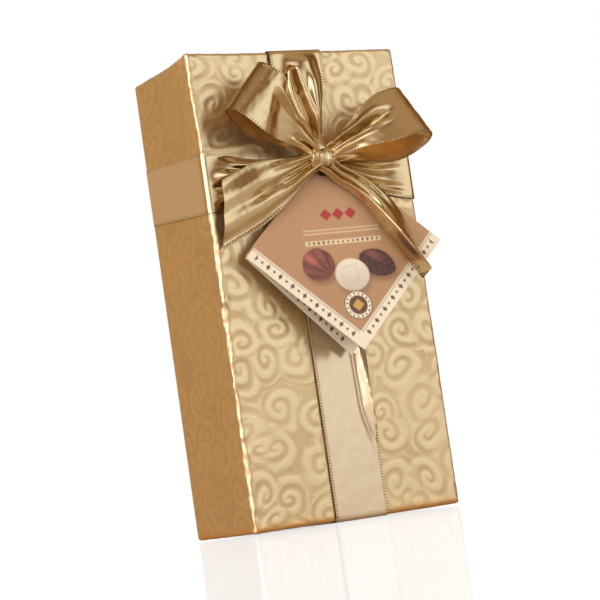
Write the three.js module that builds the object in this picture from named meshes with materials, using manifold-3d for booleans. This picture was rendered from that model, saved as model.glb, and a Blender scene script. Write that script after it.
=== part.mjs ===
// Gift box of chocolates: a two-piece paper-covered box that stands on its short end, two trays of
// pralines inside, a ribbon tied round the lid with a bow, and a folded tag hung at the knot.
// Millimetres, +Z up, the front towards -Y, origin on the standing face under the box's middle.
import * as THREE from "three";
import { mergeVertices } from "three/addons/utils/BufferGeometryUtils.js";
import Module from "manifold-3d";

const wasm = await Module();
wasm.setup();

// Box over its paper cover
const BOX_WIDTH = 99;
const BOX_DEPTH = 56;
const BOX_HEIGHT = 200;
const EDGE_RADIUS = 1.6;
const FACE_ROUNDING = 0.8;
const BOARD = 1.6;
const PAPER = 0.4;
const LID_CLEARANCE = 0.5;
const LID_HEADROOM = 0.5;

// Trays, divider and pad inside
const ROWS = 5;
const COLUMNS = 3;
const TRAY_WALL = 0.6;
const TRAY_CLEARANCE = 0.5;
const CUP_SPACING = 2;
const CUP_TAPER = 0.84;
const CARD = 1.2;
const PAD_THICKNESS = 4.5;
const PAD_MARGIN = 2;
const PAD_GAP = 2.3;

// Pralines
const PRALINE_BELOW_MOUTH = 3.4;
const PRALINE_CLEARANCE = 0.8;

// Ribbon, its crossing and the knot
const RIBBON_WIDTH = 25;
const RIBBON = 0.4;
const RIBBON_GAP = 0.1;
const GATHER_WIDTH = 8;
const GATHER_REACH = 34;
const PLEAT_HEIGHT = 3;
const PLEATS = 2;
const ARM_RISE = 1;
const KNOT_X = 0.5;
const KNOT_ABOVE_BASE = 149.5;
const BAND_DROP = 4;
const LEFT_BAND_RISE = 4.3;
const KNOT_WIDTH = 11;
const KNOT_TALL = 9.5;
const KNOT_DEPTH = 9;
const KNOT_CLEARANCE = 0.7;
const NECK_RADIUS = 1.8;
const NECK_RIGHT = 2.6;
const NECK_BELOW = 3;
const KNOT_GAP = 0.3;

// Bow loops: length, half depth, and the directions they leave and open in
const LEFT_LOOP_LENGTH = 47;
const LEFT_LOOP_DEPTH = 8;
const LEFT_LOOP_OUT = [-0.72, -0.1, 0.7];
const LEFT_LOOP_OPEN = [0, -1, -0.1];
const RIGHT_LOOP_LENGTH = 49.5;
const RIGHT_LOOP_DEPTH = 8.5;
const RIGHT_LOOP_OUT = [0.92, -0.18, 0.34];
const RIGHT_LOOP_OPEN = [0, -0.88, 0.48];

// Bow tails
const LEFT_TAIL_LENGTH = 47;
const LEFT_TAIL_SLOPE = 21;
const LEFT_TAIL_RAISE = 0.8;
const LEFT_TAIL_CUT = -5;
const RIGHT_TAIL_LENGTH = 62;
const RIGHT_TAIL_SPLAY = 3;
const RIGHT_TAIL_SHIFT = 0.5;
const RIGHT_TAIL_WIDTH = 13;
const RIGHT_TAIL_RIDGE = 7;
const RIGHT_TAIL_CUT = 7;
const RIGHT_TAIL_START = 9.5;
const TAIL_ABOVE_TAG = 0.9;

// Folded tag
const TAG_SIDE = 62;
const TAG_CARD = 0.5;
const TAG_TURN = 44;
const TAG_CLEARANCE = 0.7;
const TAG_OPEN = 11;
const TAG_FOLD_GAP = 0.3;
const HOLE_RADIUS = 2.5;
const HOLE_FROM_FOLD = 4.7;
const HOLE_FROM_TOP = 8;
const NOTCH_CLEARANCE = 0.6;
const NOTCH_SHIFT = 3.4;

const GOLD_PAPER = "#d9b777";
const GOLD_RIBBON = "#d8b26a";
const GOLD_PLASTIC = "#b88a3e";
const GREYBOARD = "#b9ad97";
const WHITE_PAPER = "#efe7d6";
const TAG_COPPER = "#c49268";
const MILK_CHOCOLATE = "#7a4526";
const DARK_CHOCOLATE = "#3b2016";
const WHITE_CHOCOLATE = "#ecd9ae";

const deg = (angle) => (angle * Math.PI) / 180;
const vec = (x, y, z) => new THREE.Vector3(x, y, z);
const smooth = (t) => THREE.MathUtils.smoothstep(t, 0, 1);

// Places along the axes that several pieces share
const FRONT = -BOX_DEPTH / 2;
const BACK = BOX_DEPTH / 2;
const FOOT = RIBBON + RIBBON_GAP;
const MIDDLE = FOOT + BOX_HEIGHT / 2;
const LID_RIM = BACK - RIBBON - RIBBON_GAP;
const WALL = PAPER + BOARD;
const BASE_WIDTH = BOX_WIDTH - 2 * (WALL + LID_CLEARANCE);
const BASE_HEIGHT = BOX_HEIGHT - 2 * (WALL + LID_CLEARANCE);
const BASE_RIM = FRONT + WALL + LID_HEADROOM;
const FLOOR = BACK - WALL;
const LID_INSIDE = FRONT + WALL;
const TRAY_DEPTH = (FLOOR - CARD - LID_INSIDE - PAD_THICKNESS - PAD_GAP) / 2;
const PRALINE_HEIGHT = TRAY_DEPTH - TRAY_WALL - PRALINE_BELOW_MOUTH;
const KNOT_Z = FOOT + KNOT_ABOVE_BASE;
const TAG_STANDOFF = RIBBON_GAP + ARM_RISE + PLEAT_HEIGHT + RIBBON + TAG_CLEARANCE;
const TAG_THICKNESS = 2 * TAG_CARD + TAG_FOLD_GAP;
const KNOT_STANDOFF = TAG_STANDOFF + TAG_CARD + KNOT_CLEARANCE;
const NECK = vec(KNOT_X + NECK_RIGHT, FRONT, KNOT_Z - NECK_BELOW);
const KNOT = vec(KNOT_X, FRONT - KNOT_STANDOFF - KNOT_DEPTH / 2, KNOT_Z);

const part = new THREE.Group();
part.name = "chocolate_box";

function add(name, geometry, color, roughness, metalness) {
  const material = new THREE.MeshStandardMaterial({ color, roughness, metalness });
  const mesh = new THREE.Mesh(geometry, material);
  mesh.name = name;
  part.add(mesh);
  return mesh;
}

// Between three.js geometry and solids that can be cut
function solid(geometry) {
  const bare = new THREE.BufferGeometry();
  bare.setAttribute("position", geometry.getAttribute("position").clone());
  if (geometry.index) bare.setIndex(geometry.index.clone());
  const merged = mergeVertices(bare, 1e-4);
  const mesh = new wasm.Mesh({
    numProp: 3,
    vertProperties: new Float32Array(merged.getAttribute("position").array),
    triVerts: new Uint32Array(merged.index.array),
  });
  return new wasm.Manifold(mesh);
}

function shape(body) {
  const mesh = body.getMesh();
  const geometry = new THREE.BufferGeometry();
  geometry.setAttribute("position", new THREE.BufferAttribute(mesh.vertProperties, 3));
  geometry.setIndex(new THREE.BufferAttribute(mesh.triVerts, 1));
  const flat = geometry.toNonIndexed();
  flat.computeVertexNormals();
  return flat;
}

// A closed body from a list of points and triangles, turned outside out if need be
function closedGeometry(points, triangles) {
  let volume = 0;
  for (const [a, b, c] of triangles) {
    volume += points[a].dot(points[b].clone().cross(points[c]));
  }
  const index = triangles.flatMap(([a, b, c]) => (volume > 0 ? [a, b, c] : [a, c, b]));
  const geometry = new THREE.BufferGeometry();
  const places = new Float32Array(points.flatMap((p) => [p.x, p.y, p.z]));
  geometry.setAttribute("position", new THREE.BufferAttribute(places, 3));
  geometry.setIndex(index);
  const flat = geometry.toNonIndexed();
  flat.computeVertexNormals();
  return flat;
}

// A block with rounded corners in X and Z between two depths, its closed face rounded over
function block(width, height, closedY, rimY, radius) {
  const outline = new THREE.Shape();
  const w = width / 2;
  const h = height / 2;
  outline.moveTo(-w + radius, -h);
  outline.lineTo(w - radius, -h);
  outline.absarc(w - radius, -h + radius, radius, -Math.PI / 2, 0);
  outline.lineTo(w, h - radius);
  outline.absarc(w - radius, h - radius, radius, 0, Math.PI / 2);
  outline.lineTo(-w + radius, h);
  outline.absarc(-w + radius, h - radius, radius, Math.PI / 2, Math.PI);
  outline.lineTo(-w, -h + radius);
  outline.absarc(-w + radius, -h + radius, radius, Math.PI, 1.5 * Math.PI);
  const length = Math.abs(rimY - closedY);
  const rounding = FACE_ROUNDING * radius;
  const geometry = new THREE.ExtrudeGeometry(outline, {
    depth: length,
    curveSegments: 2,
    bevelThickness: rounding,
    bevelSize: rounding,
    bevelOffset: -rounding,
    bevelSegments: 2,
  });
  const towardsRim = Math.sign(rimY - closedY);
  geometry.translate(0, 0, rounding);
  geometry.rotateX((-towardsRim * Math.PI) / 2);
  geometry.translate(0, closedY, MIDDLE);
  const keep = new THREE.BoxGeometry(2 * width, length, 2 * height);
  keep.translate(0, (closedY + rimY) / 2, MIDDLE);
  return solid(geometry).intersect(solid(keep));
}

// A board tray and the paper that covers its outside and turns over its rim
function coveredTray(name, width, height, closedY, rimY, paperColor) {
  const inwards = Math.sign(rimY - closedY);
  const past = rimY + inwards * BOARD;
  const inner = Math.max(EDGE_RADIUS - PAPER, 0.4);
  const core = Math.max(EDGE_RADIUS - WALL, 0.4);
  const boardSpace = block(
    width - 2 * PAPER,
    height - 2 * PAPER,
    closedY + inwards * PAPER,
    rimY - inwards * PAPER,
    inner,
  );
  const hollow = block(width - 2 * WALL, height - 2 * WALL, closedY + inwards * WALL, past, core);
  const cover = block(width, height, closedY, rimY, EDGE_RADIUS);
  add(`${name}_board`, shape(boardSpace.subtract(hollow)), GREYBOARD, 0.9, 0);
  add(`${name}_paper`, shape(cover.subtract(boardSpace).subtract(hollow)), paperColor, 0.4, 0.6);
}

coveredTray("base", BASE_WIDTH, BASE_HEIGHT, BACK, BASE_RIM, GOLD_PAPER);
coveredTray("lid", BOX_WIDTH, BOX_HEIGHT, FRONT, LID_RIM, GOLD_PAPER);

// Cushion pad on the lid's inside
const padWidth = BASE_WIDTH - 2 * (WALL + PAD_MARGIN);
const padHeight = BASE_HEIGHT - 2 * (WALL + PAD_MARGIN);
const pad = new THREE.BoxGeometry(padWidth, PAD_THICKNESS, padHeight);
pad.translate(0, LID_INSIDE + PAD_THICKNESS / 2, MIDDLE);
add("lid_pad", pad, WHITE_PAPER, 0.7, 0);

// Formed trays: a flange with one tapered oval cup for each praline
const trayWidth = BASE_WIDTH - 2 * (WALL + TRAY_CLEARANCE);
const trayHeight = BASE_HEIGHT - 2 * (WALL + TRAY_CLEARANCE);
const pitchX = trayWidth / COLUMNS;
const pitchZ = trayHeight / ROWS;
const cupX = (pitchX - CUP_SPACING) / 2;
const cupZ = (pitchZ - CUP_SPACING) / 2;

function cupPlaces() {
  const places = [];
  for (let row = 0; row < ROWS; row += 1) {
    for (let column = 0; column < COLUMNS; column += 1) {
      const x = (column - (COLUMNS - 1) / 2) * pitchX;
      const z = MIDDLE + ((ROWS - 1) / 2 - row) * pitchZ;
      places.push({ x, z, row, column });
    }
  }
  return places;
}

function cup(place, mouthY, bottomY, thinner) {
  const depth = bottomY - mouthY;
  const geometry = new THREE.CylinderGeometry(1, CUP_TAPER, 1, 12);
  geometry.rotateX(Math.PI);
  geometry.scale(cupX - thinner, depth, cupZ - thinner);
  geometry.translate(place.x, mouthY + depth / 2, place.z);
  return solid(geometry);
}

function formedTray(name, bottomY) {
  const mouthY = bottomY - TRAY_DEPTH;
  const flange = new THREE.BoxGeometry(trayWidth, TRAY_WALL, trayHeight);
  flange.translate(0, mouthY + TRAY_WALL / 2, MIDDLE);
  let tray = solid(flange);
  for (const place of cupPlaces()) {
    tray = tray.add(cup(place, mouthY, bottomY, 0));
  }
  for (const place of cupPlaces()) {
    tray = tray.subtract(cup(place, mouthY - TRAY_WALL, bottomY - TRAY_WALL, TRAY_WALL));
  }
  add(name, shape(tray), GOLD_PLASTIC, 0.3, 0.3);
}

const lowerMouth = FLOOR - TRAY_DEPTH;
const cardFront = lowerMouth - CARD;
formedTray("lower_tray", FLOOR);
formedTray("upper_tray", cardFront);
const card = new THREE.BoxGeometry(trayWidth, CARD, trayHeight);
card.translate(0, lowerMouth - CARD / 2, MIDDLE);
add("layer_card", card, WHITE_PAPER, 0.8, 0);

// Moulded pralines: a flat foot, an outline of their kind and a domed top
const PRALINE_KINDS = [
  {
    name: "shell_praline",
    color: MILK_CHOCOLATE,
    outline: (a) => 0.9 + 0.1 * Math.abs(Math.cos(4.5 * a)) - 0.12 * Math.max(0, Math.cos(a)),
    crown: 0.66,
  },
  {
    name: "dome_praline",
    color: WHITE_CHOCOLATE,
    outline: (a) => 0.94 + 0.05 * Math.cos(8 * a),
    crown: 0.7,
  },
  {
    name: "leaf_praline",
    color: DARK_CHOCOLATE,
    outline: (a) => 0.7 + 0.3 * Math.cos(a) ** 2,
    crown: 0.5,
  },
];
const footX = (cupX - TRAY_WALL) * CUP_TAPER - PRALINE_CLEARANCE;
const footZ = (cupZ - TRAY_WALL) * CUP_TAPER - PRALINE_CLEARANCE;

function praline(kind) {
  const around = 16;
  const rings = [
    { size: 1, rise: 0 },
    { size: 0.98, rise: 0.35 },
    { size: kind.crown, rise: 0.85 },
  ];
  const points = [vec(0, 0, 0)];
  for (const ring of rings) {
    for (let i = 0; i < around; i += 1) {
      const angle = (2 * Math.PI * i) / around;
      const reach = ring.size * kind.outline(angle);
      const x = footX * reach * Math.sin(angle);
      const z = footZ * reach * Math.cos(angle);
      points.push(vec(x, -PRALINE_HEIGHT * ring.rise, z));
    }
  }
  points.push(vec(0, -PRALINE_HEIGHT, 0));
  const top = points.length - 1;
  const triangles = [];
  for (let i = 0; i < around; i += 1) {
    const next = (i + 1) % around;
    triangles.push([0, 1 + next, 1 + i]);
    for (let ring = 0; ring < rings.length - 1; ring += 1) {
      const low = 1 + ring * around;
      const high = low + around;
      triangles.push([low + i, low + next, high + next]);
      triangles.push([low + i, high + next, high + i]);
    }
    const last = 1 + (rings.length - 1) * around;
    triangles.push([last + i, last + next, top]);
  }
  return closedGeometry(points, triangles);
}

function fillTray(layer, bottomY) {
  const counts = new Map();
  for (const place of cupPlaces()) {
    const kind = PRALINE_KINDS[(place.row + place.column) % PRALINE_KINDS.length];
    const count = (counts.get(kind.name) ?? 0) + 1;
    counts.set(kind.name, count);
    const piece = add(`${kind.name}_${layer}_${count}`, praline(kind), kind.color, 0.45, 0);
    piece.position.set(place.x, bottomY - TRAY_WALL, place.z);
  }
}

fillTray("lower", FLOOR);
fillTray("upper", cardFront);

// A ribbon lofted through stations. Each gives the ribbon's middle, the directions across it and
// out of its face, the width it is drawn in to, and how high its pleats stand.
function ribbon(stations, pleats, across) {
  const points = [];
  const columns = across + 1;
  for (const station of stations) {
    for (const layer of [0, RIBBON]) {
      for (let i = 0; i <= across; i += 1) {
        const u = (2 * i) / across - 1;
        const rise = station.pleat * (0.5 - 0.5 * Math.cos(Math.PI * pleats * (u + 1)));
        const point = station.middle.clone();
        point.addScaledVector(station.across, (u * station.width) / 2);
        point.addScaledVector(station.face, rise + layer);
        if (station.slant) point.addScaledVector(station.along, u * station.slant);
        points.push(point);
      }
    }
  }
  const at = (station, layer, i) => (station * 2 + layer) * columns + i;
  const triangles = [];
  const quad = (a, b, c, d) => triangles.push([a, b, c], [a, c, d]);
  const last = stations.length - 1;
  for (let s = 0; s < last; s += 1) {
    for (let i = 0; i < across; i += 1) {
      quad(at(s, 1, i), at(s, 1, i + 1), at(s + 1, 1, i + 1), at(s + 1, 1, i));
      quad(at(s, 0, i), at(s + 1, 0, i), at(s + 1, 0, i + 1), at(s, 0, i + 1));
    }
    quad(at(s, 0, 0), at(s, 1, 0), at(s + 1, 1, 0), at(s + 1, 0, 0));
    quad(at(s, 0, across), at(s + 1, 0, across), at(s + 1, 1, across), at(s, 1, across));
  }
  for (let i = 0; i < across; i += 1) {
    quad(at(0, 0, i), at(0, 0, i + 1), at(0, 1, i + 1), at(0, 1, i));
    quad(at(last, 0, i), at(last, 1, i), at(last, 1, i + 1), at(last, 0, i + 1));
  }
  return closedGeometry(points, triangles);
}

function addRibbon(name, stations, pleats, across) {
  add(name, ribbon(stations, pleats, across), GOLD_RIBBON, 0.3, 0.8);
}

// One arm of the tie: gathered at the knot, flat over the box's edge, turned over the lid's rim
function arm(name, outwards, toEdge, drop, rise) {
  const across = outwards.x === 0 ? vec(1, 0, 0) : vec(0, 0, 1);
  const front = vec(0, -1, 0);
  const start = NECK_RADIUS + NECK_RIGHT + NECK_BELOW + KNOT_GAP;
  const edge = FACE_ROUNDING * EDGE_RADIUS;
  const stations = [];
  const surface = FRONT - RIBBON_GAP;
  const place = (along, y) => {
    const middle = vec(KNOT_X, y, KNOT_Z).addScaledVector(outwards, along);
    const sunk = drop * smooth(along / GATHER_REACH);
    return middle.addScaledVector(across, -sunk);
  };
  for (const share of [0, 0.15, 0.32, 0.52, 0.75, 1]) {
    const along = start + (GATHER_REACH - start) * share;
    const open = smooth(share);
    stations.push({
      middle: place(along, surface - ARM_RISE * (1 - open)),
      across,
      face: front,
      width: GATHER_WIDTH + (RIBBON_WIDTH - GATHER_WIDTH) * open,
      pleat: PLEAT_HEIGHT * (1 - open),
    });
  }
  const flat = { across, width: RIBBON_WIDTH, pleat: 0 };
  for (const turn of [0, 45, 90]) {
    const face = front.clone().multiplyScalar(Math.cos(deg(turn)));
    face.addScaledVector(outwards, Math.sin(deg(turn)));
    const middle = place(toEdge - edge, FRONT + edge);
    middle.addScaledVector(face, edge + RIBBON_GAP);
    stations.push({ ...flat, middle, face });
  }
  const side = place(toEdge + RIBBON_GAP, LID_RIM + RIBBON_GAP).addScaledVector(across, rise);
  stations.push({ ...flat, middle: side, face: outwards.clone().add(vec(0, 1, 0)) });
  const turnedIn = side.clone().addScaledVector(outwards, -WALL - RIBBON_GAP);
  stations.push({ ...flat, middle: turnedIn, face: vec(0, 1, 0) });
  addRibbon(name, stations, PLEATS, 8);
}

arm("ribbon_up", vec(0, 0, 1), FOOT + BOX_HEIGHT - KNOT_Z, 0, 0);
arm("ribbon_down", vec(0, 0, -1), KNOT_Z - FOOT, 0, 0);
arm("ribbon_left", vec(-1, 0, 0), BOX_WIDTH / 2 + KNOT_X, BAND_DROP, LEFT_BAND_RISE);
arm("ribbon_right", vec(1, 0, 0), BOX_WIDTH / 2 - KNOT_X, BAND_DROP, 0);

// Knot: a small wrapped bead on the neck that passes through the tag's hole
const bead = new THREE.SphereGeometry(0.5, 14, 10);
bead.scale(KNOT_WIDTH, KNOT_DEPTH, KNOT_TALL);
bead.translate(KNOT.x, KNOT.y, KNOT.z);
const neckLength = FRONT - RIBBON_GAP - KNOT.y;
const neck = new THREE.CylinderGeometry(NECK_RADIUS, NECK_RADIUS, neckLength, 16);
neck.translate(NECK.x, KNOT.y + neckLength / 2, NECK.z);
add("bow_knot", shape(solid(bead).add(solid(neck))), GOLD_RIBBON, 0.3, 0.8);

// How far the knot reaches in a direction
function knotReach(direction) {
  const x = direction.x / KNOT_WIDTH;
  const y = direction.y / KNOT_DEPTH;
  const z = direction.z / KNOT_TALL;
  return 0.5 / Math.hypot(x, y, z);
}

// Bow loops: each runs out from the knot, round its far end and back
function loop(name, outwards, opens, length, depth) {
  const out = vec(...outwards).normalize();
  const open = vec(...opens);
  open.addScaledVector(out, -open.dot(out)).normalize();
  const across = out.clone().cross(open);
  const clear = knotReach(out) + KNOT_GAP;
  const first = Math.asin(clear / length) / Math.PI;
  const steps = 26;
  const stations = [];
  for (let i = 0; i <= steps; i += 1) {
    const s = first + ((1 - 2 * first) * i) / steps;
    const reach = length * Math.sin(Math.PI * s);
    const bulge = depth * Math.sin(2 * Math.PI * s);
    const run = Math.PI * length * Math.cos(Math.PI * s);
    const swell = 2 * Math.PI * depth * Math.cos(2 * Math.PI * s);
    const face = open.clone().multiplyScalar(run).addScaledVector(out, -swell).normalize();
    const spread = smooth((reach - clear) / (0.62 * length));
    stations.push({
      middle: KNOT.clone().addScaledVector(out, reach).addScaledVector(open, bulge),
      across,
      face,
      width: GATHER_WIDTH + (RIBBON_WIDTH - GATHER_WIDTH) * spread,
      pleat: PLEAT_HEIGHT * 0.7 * (1 - spread),
    });
  }
  addRibbon(name, stations, PLEATS, 8);
}

loop("bow_loop_left", LEFT_LOOP_OUT, LEFT_LOOP_OPEN, LEFT_LOOP_LENGTH, LEFT_LOOP_DEPTH);
loop("bow_loop_right", RIGHT_LOOP_OUT, RIGHT_LOOP_OPEN, RIGHT_LOOP_LENGTH, RIGHT_LOOP_DEPTH);

// Left tail: spreads flat towards the box's left edge and is cut upright
const leftAlong = vec(-Math.cos(deg(LEFT_TAIL_SLOPE)), 0, -Math.sin(deg(LEFT_TAIL_SLOPE)));
const leftAcross = vec(-Math.sin(deg(LEFT_TAIL_SLOPE)), 0, Math.cos(deg(LEFT_TAIL_SLOPE)));
const leftTailY = FRONT - TAG_STANDOFF - TAG_THICKNESS - TAIL_ABOVE_TAG;
const leftStart = knotReach(leftAlong) + KNOT_GAP;
const leftStations = [0, 0.12, 0.28, 0.46, 0.64, 0.82, 1].map((share) => {
  const along = leftStart + (LEFT_TAIL_LENGTH - leftStart) * share;
  const open = smooth(share / 0.7);
  const y = THREE.MathUtils.lerp(KNOT.y, leftTailY, smooth(0.25 + share));
  return {
    middle: vec(KNOT_X, y, KNOT_Z + LEFT_TAIL_RAISE).addScaledVector(leftAlong, along),
    along: leftAlong,
    across: leftAcross,
    face: vec(0, -1, 0),
    width: GATHER_WIDTH + (RIBBON_WIDTH - GATHER_WIDTH) * open,
    pleat: PLEAT_HEIGHT * 0.8 * (1 - open),
    slant: LEFT_TAIL_CUT * open,
  };
});
addRibbon("bow_tail_left", leftStations, PLEATS, 8);

// Folded tag: the fold runs up the left, the hole sits by the top corner
const foldDown = vec(-Math.cos(deg(TAG_TURN)), 0, -Math.sin(deg(TAG_TURN)));
const leafAcross = vec(Math.sin(deg(TAG_TURN)), 0, -Math.cos(deg(TAG_TURN)));
const tagBackY = FRONT - TAG_STANDOFF;
const foldTop = NECK.clone();
foldTop.addScaledVector(foldDown, -HOLE_FROM_TOP);
foldTop.addScaledVector(leafAcross, -HOLE_FROM_FOLD);
foldTop.setY(tagBackY);

function leaf(x, y, radius) {
  const card = new THREE.BoxGeometry(TAG_SIDE, TAG_SIDE, TAG_CARD);
  card.translate(TAG_SIDE / 2, TAG_SIDE / 2, TAG_CARD / 2);
  const punch = new THREE.CylinderGeometry(radius, radius, 4 * TAG_CARD, 24);
  punch.rotateX(Math.PI / 2);
  punch.translate(x, y, TAG_CARD / 2);
  return shape(solid(card).subtract(solid(punch)));
}

function hangLeaf(mesh, forward, opened) {
  const lifted = leafAcross.clone().multiplyScalar(Math.cos(deg(opened)));
  lifted.addScaledVector(vec(0, -1, 0), Math.sin(deg(opened)));
  const face = foldDown.clone().cross(lifted);
  const frame = new THREE.Matrix4().makeBasis(foldDown, lifted, face);
  frame.setPosition(foldTop.x, tagBackY - forward, foldTop.z);
  mesh.applyMatrix4(frame);
}

const holed = leaf(HOLE_FROM_TOP, HOLE_FROM_FOLD, HOLE_RADIUS);
hangLeaf(add("tag_back_leaf", holed, TAG_COPPER, 0.6, 0), 0, 0);
const toKnot = KNOT.clone().sub(foldTop);
const notchX = toKnot.dot(foldDown) - NOTCH_SHIFT;
const notchY = toKnot.dot(leafAcross) + NOTCH_SHIFT;
const notchRadius = KNOT_STANDOFF + KNOT_DEPTH - TAG_STANDOFF + NOTCH_CLEARANCE + 0.7 * NOTCH_SHIFT;
const notched = leaf(notchX, notchY, notchRadius);
hangLeaf(add("tag_front_leaf", notched, TAG_COPPER, 0.6, 0), TAG_CARD + TAG_FOLD_GAP, TAG_OPEN);

// Right tail: folded lengthwise, laid down across the tag's cover
const tailTilt = leafAcross.clone().multiplyScalar(Math.cos(deg(TAG_OPEN)));
tailTilt.addScaledVector(vec(0, -1, 0), Math.sin(deg(TAG_OPEN)));
const tailAlong = tailTilt.clone().multiplyScalar(Math.cos(deg(RIGHT_TAIL_SPLAY)));
tailAlong.addScaledVector(foldDown, Math.sin(deg(RIGHT_TAIL_SPLAY)));
const tailFace = tailTilt.clone().cross(foldDown).multiplyScalar(-1);
const tailAcross = tailAlong.clone().cross(tailFace);
const tailRoot = foldTop.clone().addScaledVector(foldDown, HOLE_FROM_TOP + RIGHT_TAIL_SHIFT);
tailRoot.setY(tagBackY - TAG_THICKNESS);
tailRoot.addScaledVector(tailFace, TAIL_ABOVE_TAG);
const rightStations = [0, 0.12, 0.28, 0.46, 0.64, 0.82, 1].map((share) => {
  const along = RIGHT_TAIL_START + (RIGHT_TAIL_LENGTH - RIGHT_TAIL_START) * share;
  const open = smooth(share / 0.7);
  return {
    middle: tailRoot.clone().addScaledVector(tailAlong, along),
    along: tailAlong,
    across: tailAcross,
    face: tailFace,
    width: GATHER_WIDTH + (RIGHT_TAIL_WIDTH - GATHER_WIDTH) * open,
    pleat: PLEAT_HEIGHT + (RIGHT_TAIL_RIDGE - PLEAT_HEIGHT) * open,
    slant: RIGHT_TAIL_CUT * open,
  };
});
addRibbon("bow_tail_right", rightStations, 1, 8);

export default part;
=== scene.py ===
"""Looks of a gift box of chocolates: embossed gold paper, a tied ribbon with its bow, a folded tag,
and the trays of pralines inside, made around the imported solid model."""

import math

import bmesh
import bpy
import numpy as np
from mathutils import Matrix, Vector


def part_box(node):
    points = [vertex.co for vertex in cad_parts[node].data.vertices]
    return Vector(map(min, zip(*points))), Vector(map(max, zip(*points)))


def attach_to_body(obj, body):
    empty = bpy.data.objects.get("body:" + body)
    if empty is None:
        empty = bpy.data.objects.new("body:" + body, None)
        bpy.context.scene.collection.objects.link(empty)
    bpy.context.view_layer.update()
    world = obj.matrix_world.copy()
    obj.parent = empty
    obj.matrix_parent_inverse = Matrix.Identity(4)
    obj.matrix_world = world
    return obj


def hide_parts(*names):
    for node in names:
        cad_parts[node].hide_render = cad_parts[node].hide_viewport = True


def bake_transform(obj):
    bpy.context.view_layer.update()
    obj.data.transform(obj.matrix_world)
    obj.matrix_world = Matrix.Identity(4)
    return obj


bl_info = {
    "name": "Gift box of chocolates",
    "version": (1, 0, 0),
    "blender": (4, 5, 0),
    "location": "3D View > Sidebar > Chocolate box",
    "description": "Paper, ribbon, tag and pralines of a tied gift box around its solid model",
    "category": "Object",
}

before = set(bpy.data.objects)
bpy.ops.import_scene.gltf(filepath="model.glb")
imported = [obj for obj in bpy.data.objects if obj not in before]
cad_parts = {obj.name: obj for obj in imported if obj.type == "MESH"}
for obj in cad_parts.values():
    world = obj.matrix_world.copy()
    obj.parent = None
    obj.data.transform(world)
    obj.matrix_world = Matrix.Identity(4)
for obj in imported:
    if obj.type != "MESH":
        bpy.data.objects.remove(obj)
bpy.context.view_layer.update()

# Places on the pieces are in millimetres; properties, finishes, lamps and the camera are in metres
MM = 0.001

# The lid, from the solid model
LID_LOW, LID_HIGH = (np.array(corner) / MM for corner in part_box("lid_paper"))
HALF_WIDTH, FRONT, RIM = LID_HIGH[0], LID_LOW[1], LID_HIGH[1]
FOOT, TOP = LID_LOW[2], LID_HIGH[2]
FORWARDS = np.array([0, -1.0, 0])

# The bow and the ribbon
KNOT = np.array([0.9, -38.9, 151.8])
KNOT_HALF = np.array([5.6, 4.8, 5.3])
NECK_X, NECK_Z, NECK_RADIUS = 3.1, 147.0, 1.55
LOOP_LENGTH = 47.0
LEFT_TAIL_LENGTH, RIGHT_TAIL_LENGTH = 48.0, 60.0
RIBBON_WIDTH = 25.0
RIBBON_COLUMNS = 57
GATHER_WIDTH = 8.0
TALLEST_PLEAT = 6.0
BAND_DROP = 5.8
LEFT_BAND_RISE = 4.3
ABOVE_FLOOR = 0.13

# The tag: the upper end of its fold, the way down the fold, and the way across a closed leaf
FOLD_TOP = np.array([5.5898, -33.2, 155.9382])
FOLD_DOWN = np.array([-0.71934, 0.0, -0.69466])
LEAF_ACROSS = np.array([0.69466, 0.0, -0.71934])
TAG_SIDE = 62.0
TAG_OPEN = math.radians(11)
CARD_THICKNESS = 0.46


# ---------------------------------------------------------------- sizes and colours


def length_property(name, description, default, precision=4):
    return bpy.props.FloatProperty(
        name=name, description=description, default=default, unit="LENGTH", precision=precision)


def colour_property(name, description, default):
    return bpy.props.FloatVectorProperty(
        name=name, description=description, default=default, subtype="COLOR", size=3, min=0, max=1)


class ChocolateBoxSizes(bpy.types.PropertyGroup):
    """Sizes and colours of the finish that a user may change"""

    emboss_height: length_property(
        "Emboss height", "How far the scrolls stand out of the paper", 0.00013, 5)
    scroll_radius: length_property("Scroll radius", "Outer radius of a large scroll on the paper", 0.0076)
    scroll_spacing: length_property("Scroll spacing", "Usual distance between two scrolls", 0.0156)
    stroke: length_property("Scroll groove", "Half the width of the groove that draws a scroll", 0.00095)
    ribbon_thickness: length_property("Ribbon thickness", "Thickness of the woven ribbon", 0.00025, 5)
    paper_colour: colour_property("Paper", "Colour of the gold paper", (0.715, 0.555, 0.325))
    ribbon_colour: colour_property("Ribbon", "Colour of the ribbon's metal thread", (0.625, 0.48, 0.27))
    # Painted light: the flat band is a paler copy of the ribbon's colour, standing in for brighter light on
    # the flat band than in the shaded bow
    flat_band_lit_colour: colour_property(
        "Flat band", "Colour of the ribbon where it lies flat and its weave shows", (0.66, 0.53, 0.35))
    tag_colour: colour_property("Tag", "Colour of the tag's printed ground", (0.49, 0.272, 0.124))
    cream_colour: colour_property("Tag border", "Colour of the tag's border strips", (0.90, 0.80, 0.59))


def sizes():
    return bpy.context.scene.chocolate_box


# ---------------------------------------------------------------- small geometry tools


def smoothstep(value):
    value = np.clip(value, 0.0, 1.0)
    return value * value * (3.0 - 2.0 * value)


def climb(value, start, width):
    """From 0 to 1 while a value goes from the start over that width"""
    return smoothstep((value - start) / width)


def fade(value, start, width):
    """From 1 to 0 while a value goes from the start over that width"""
    return 1 - climb(value, start, width)


def bell(value, middle, width):
    """One in the middle, and next to nought two widths away from it"""
    return np.exp(-((value - middle) / width) ** 2)


def unit(vectors):
    vectors = np.asarray(vectors, float)
    return vectors / np.maximum(np.linalg.norm(vectors, axis=-1, keepdims=True), 1e-9)


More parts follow.
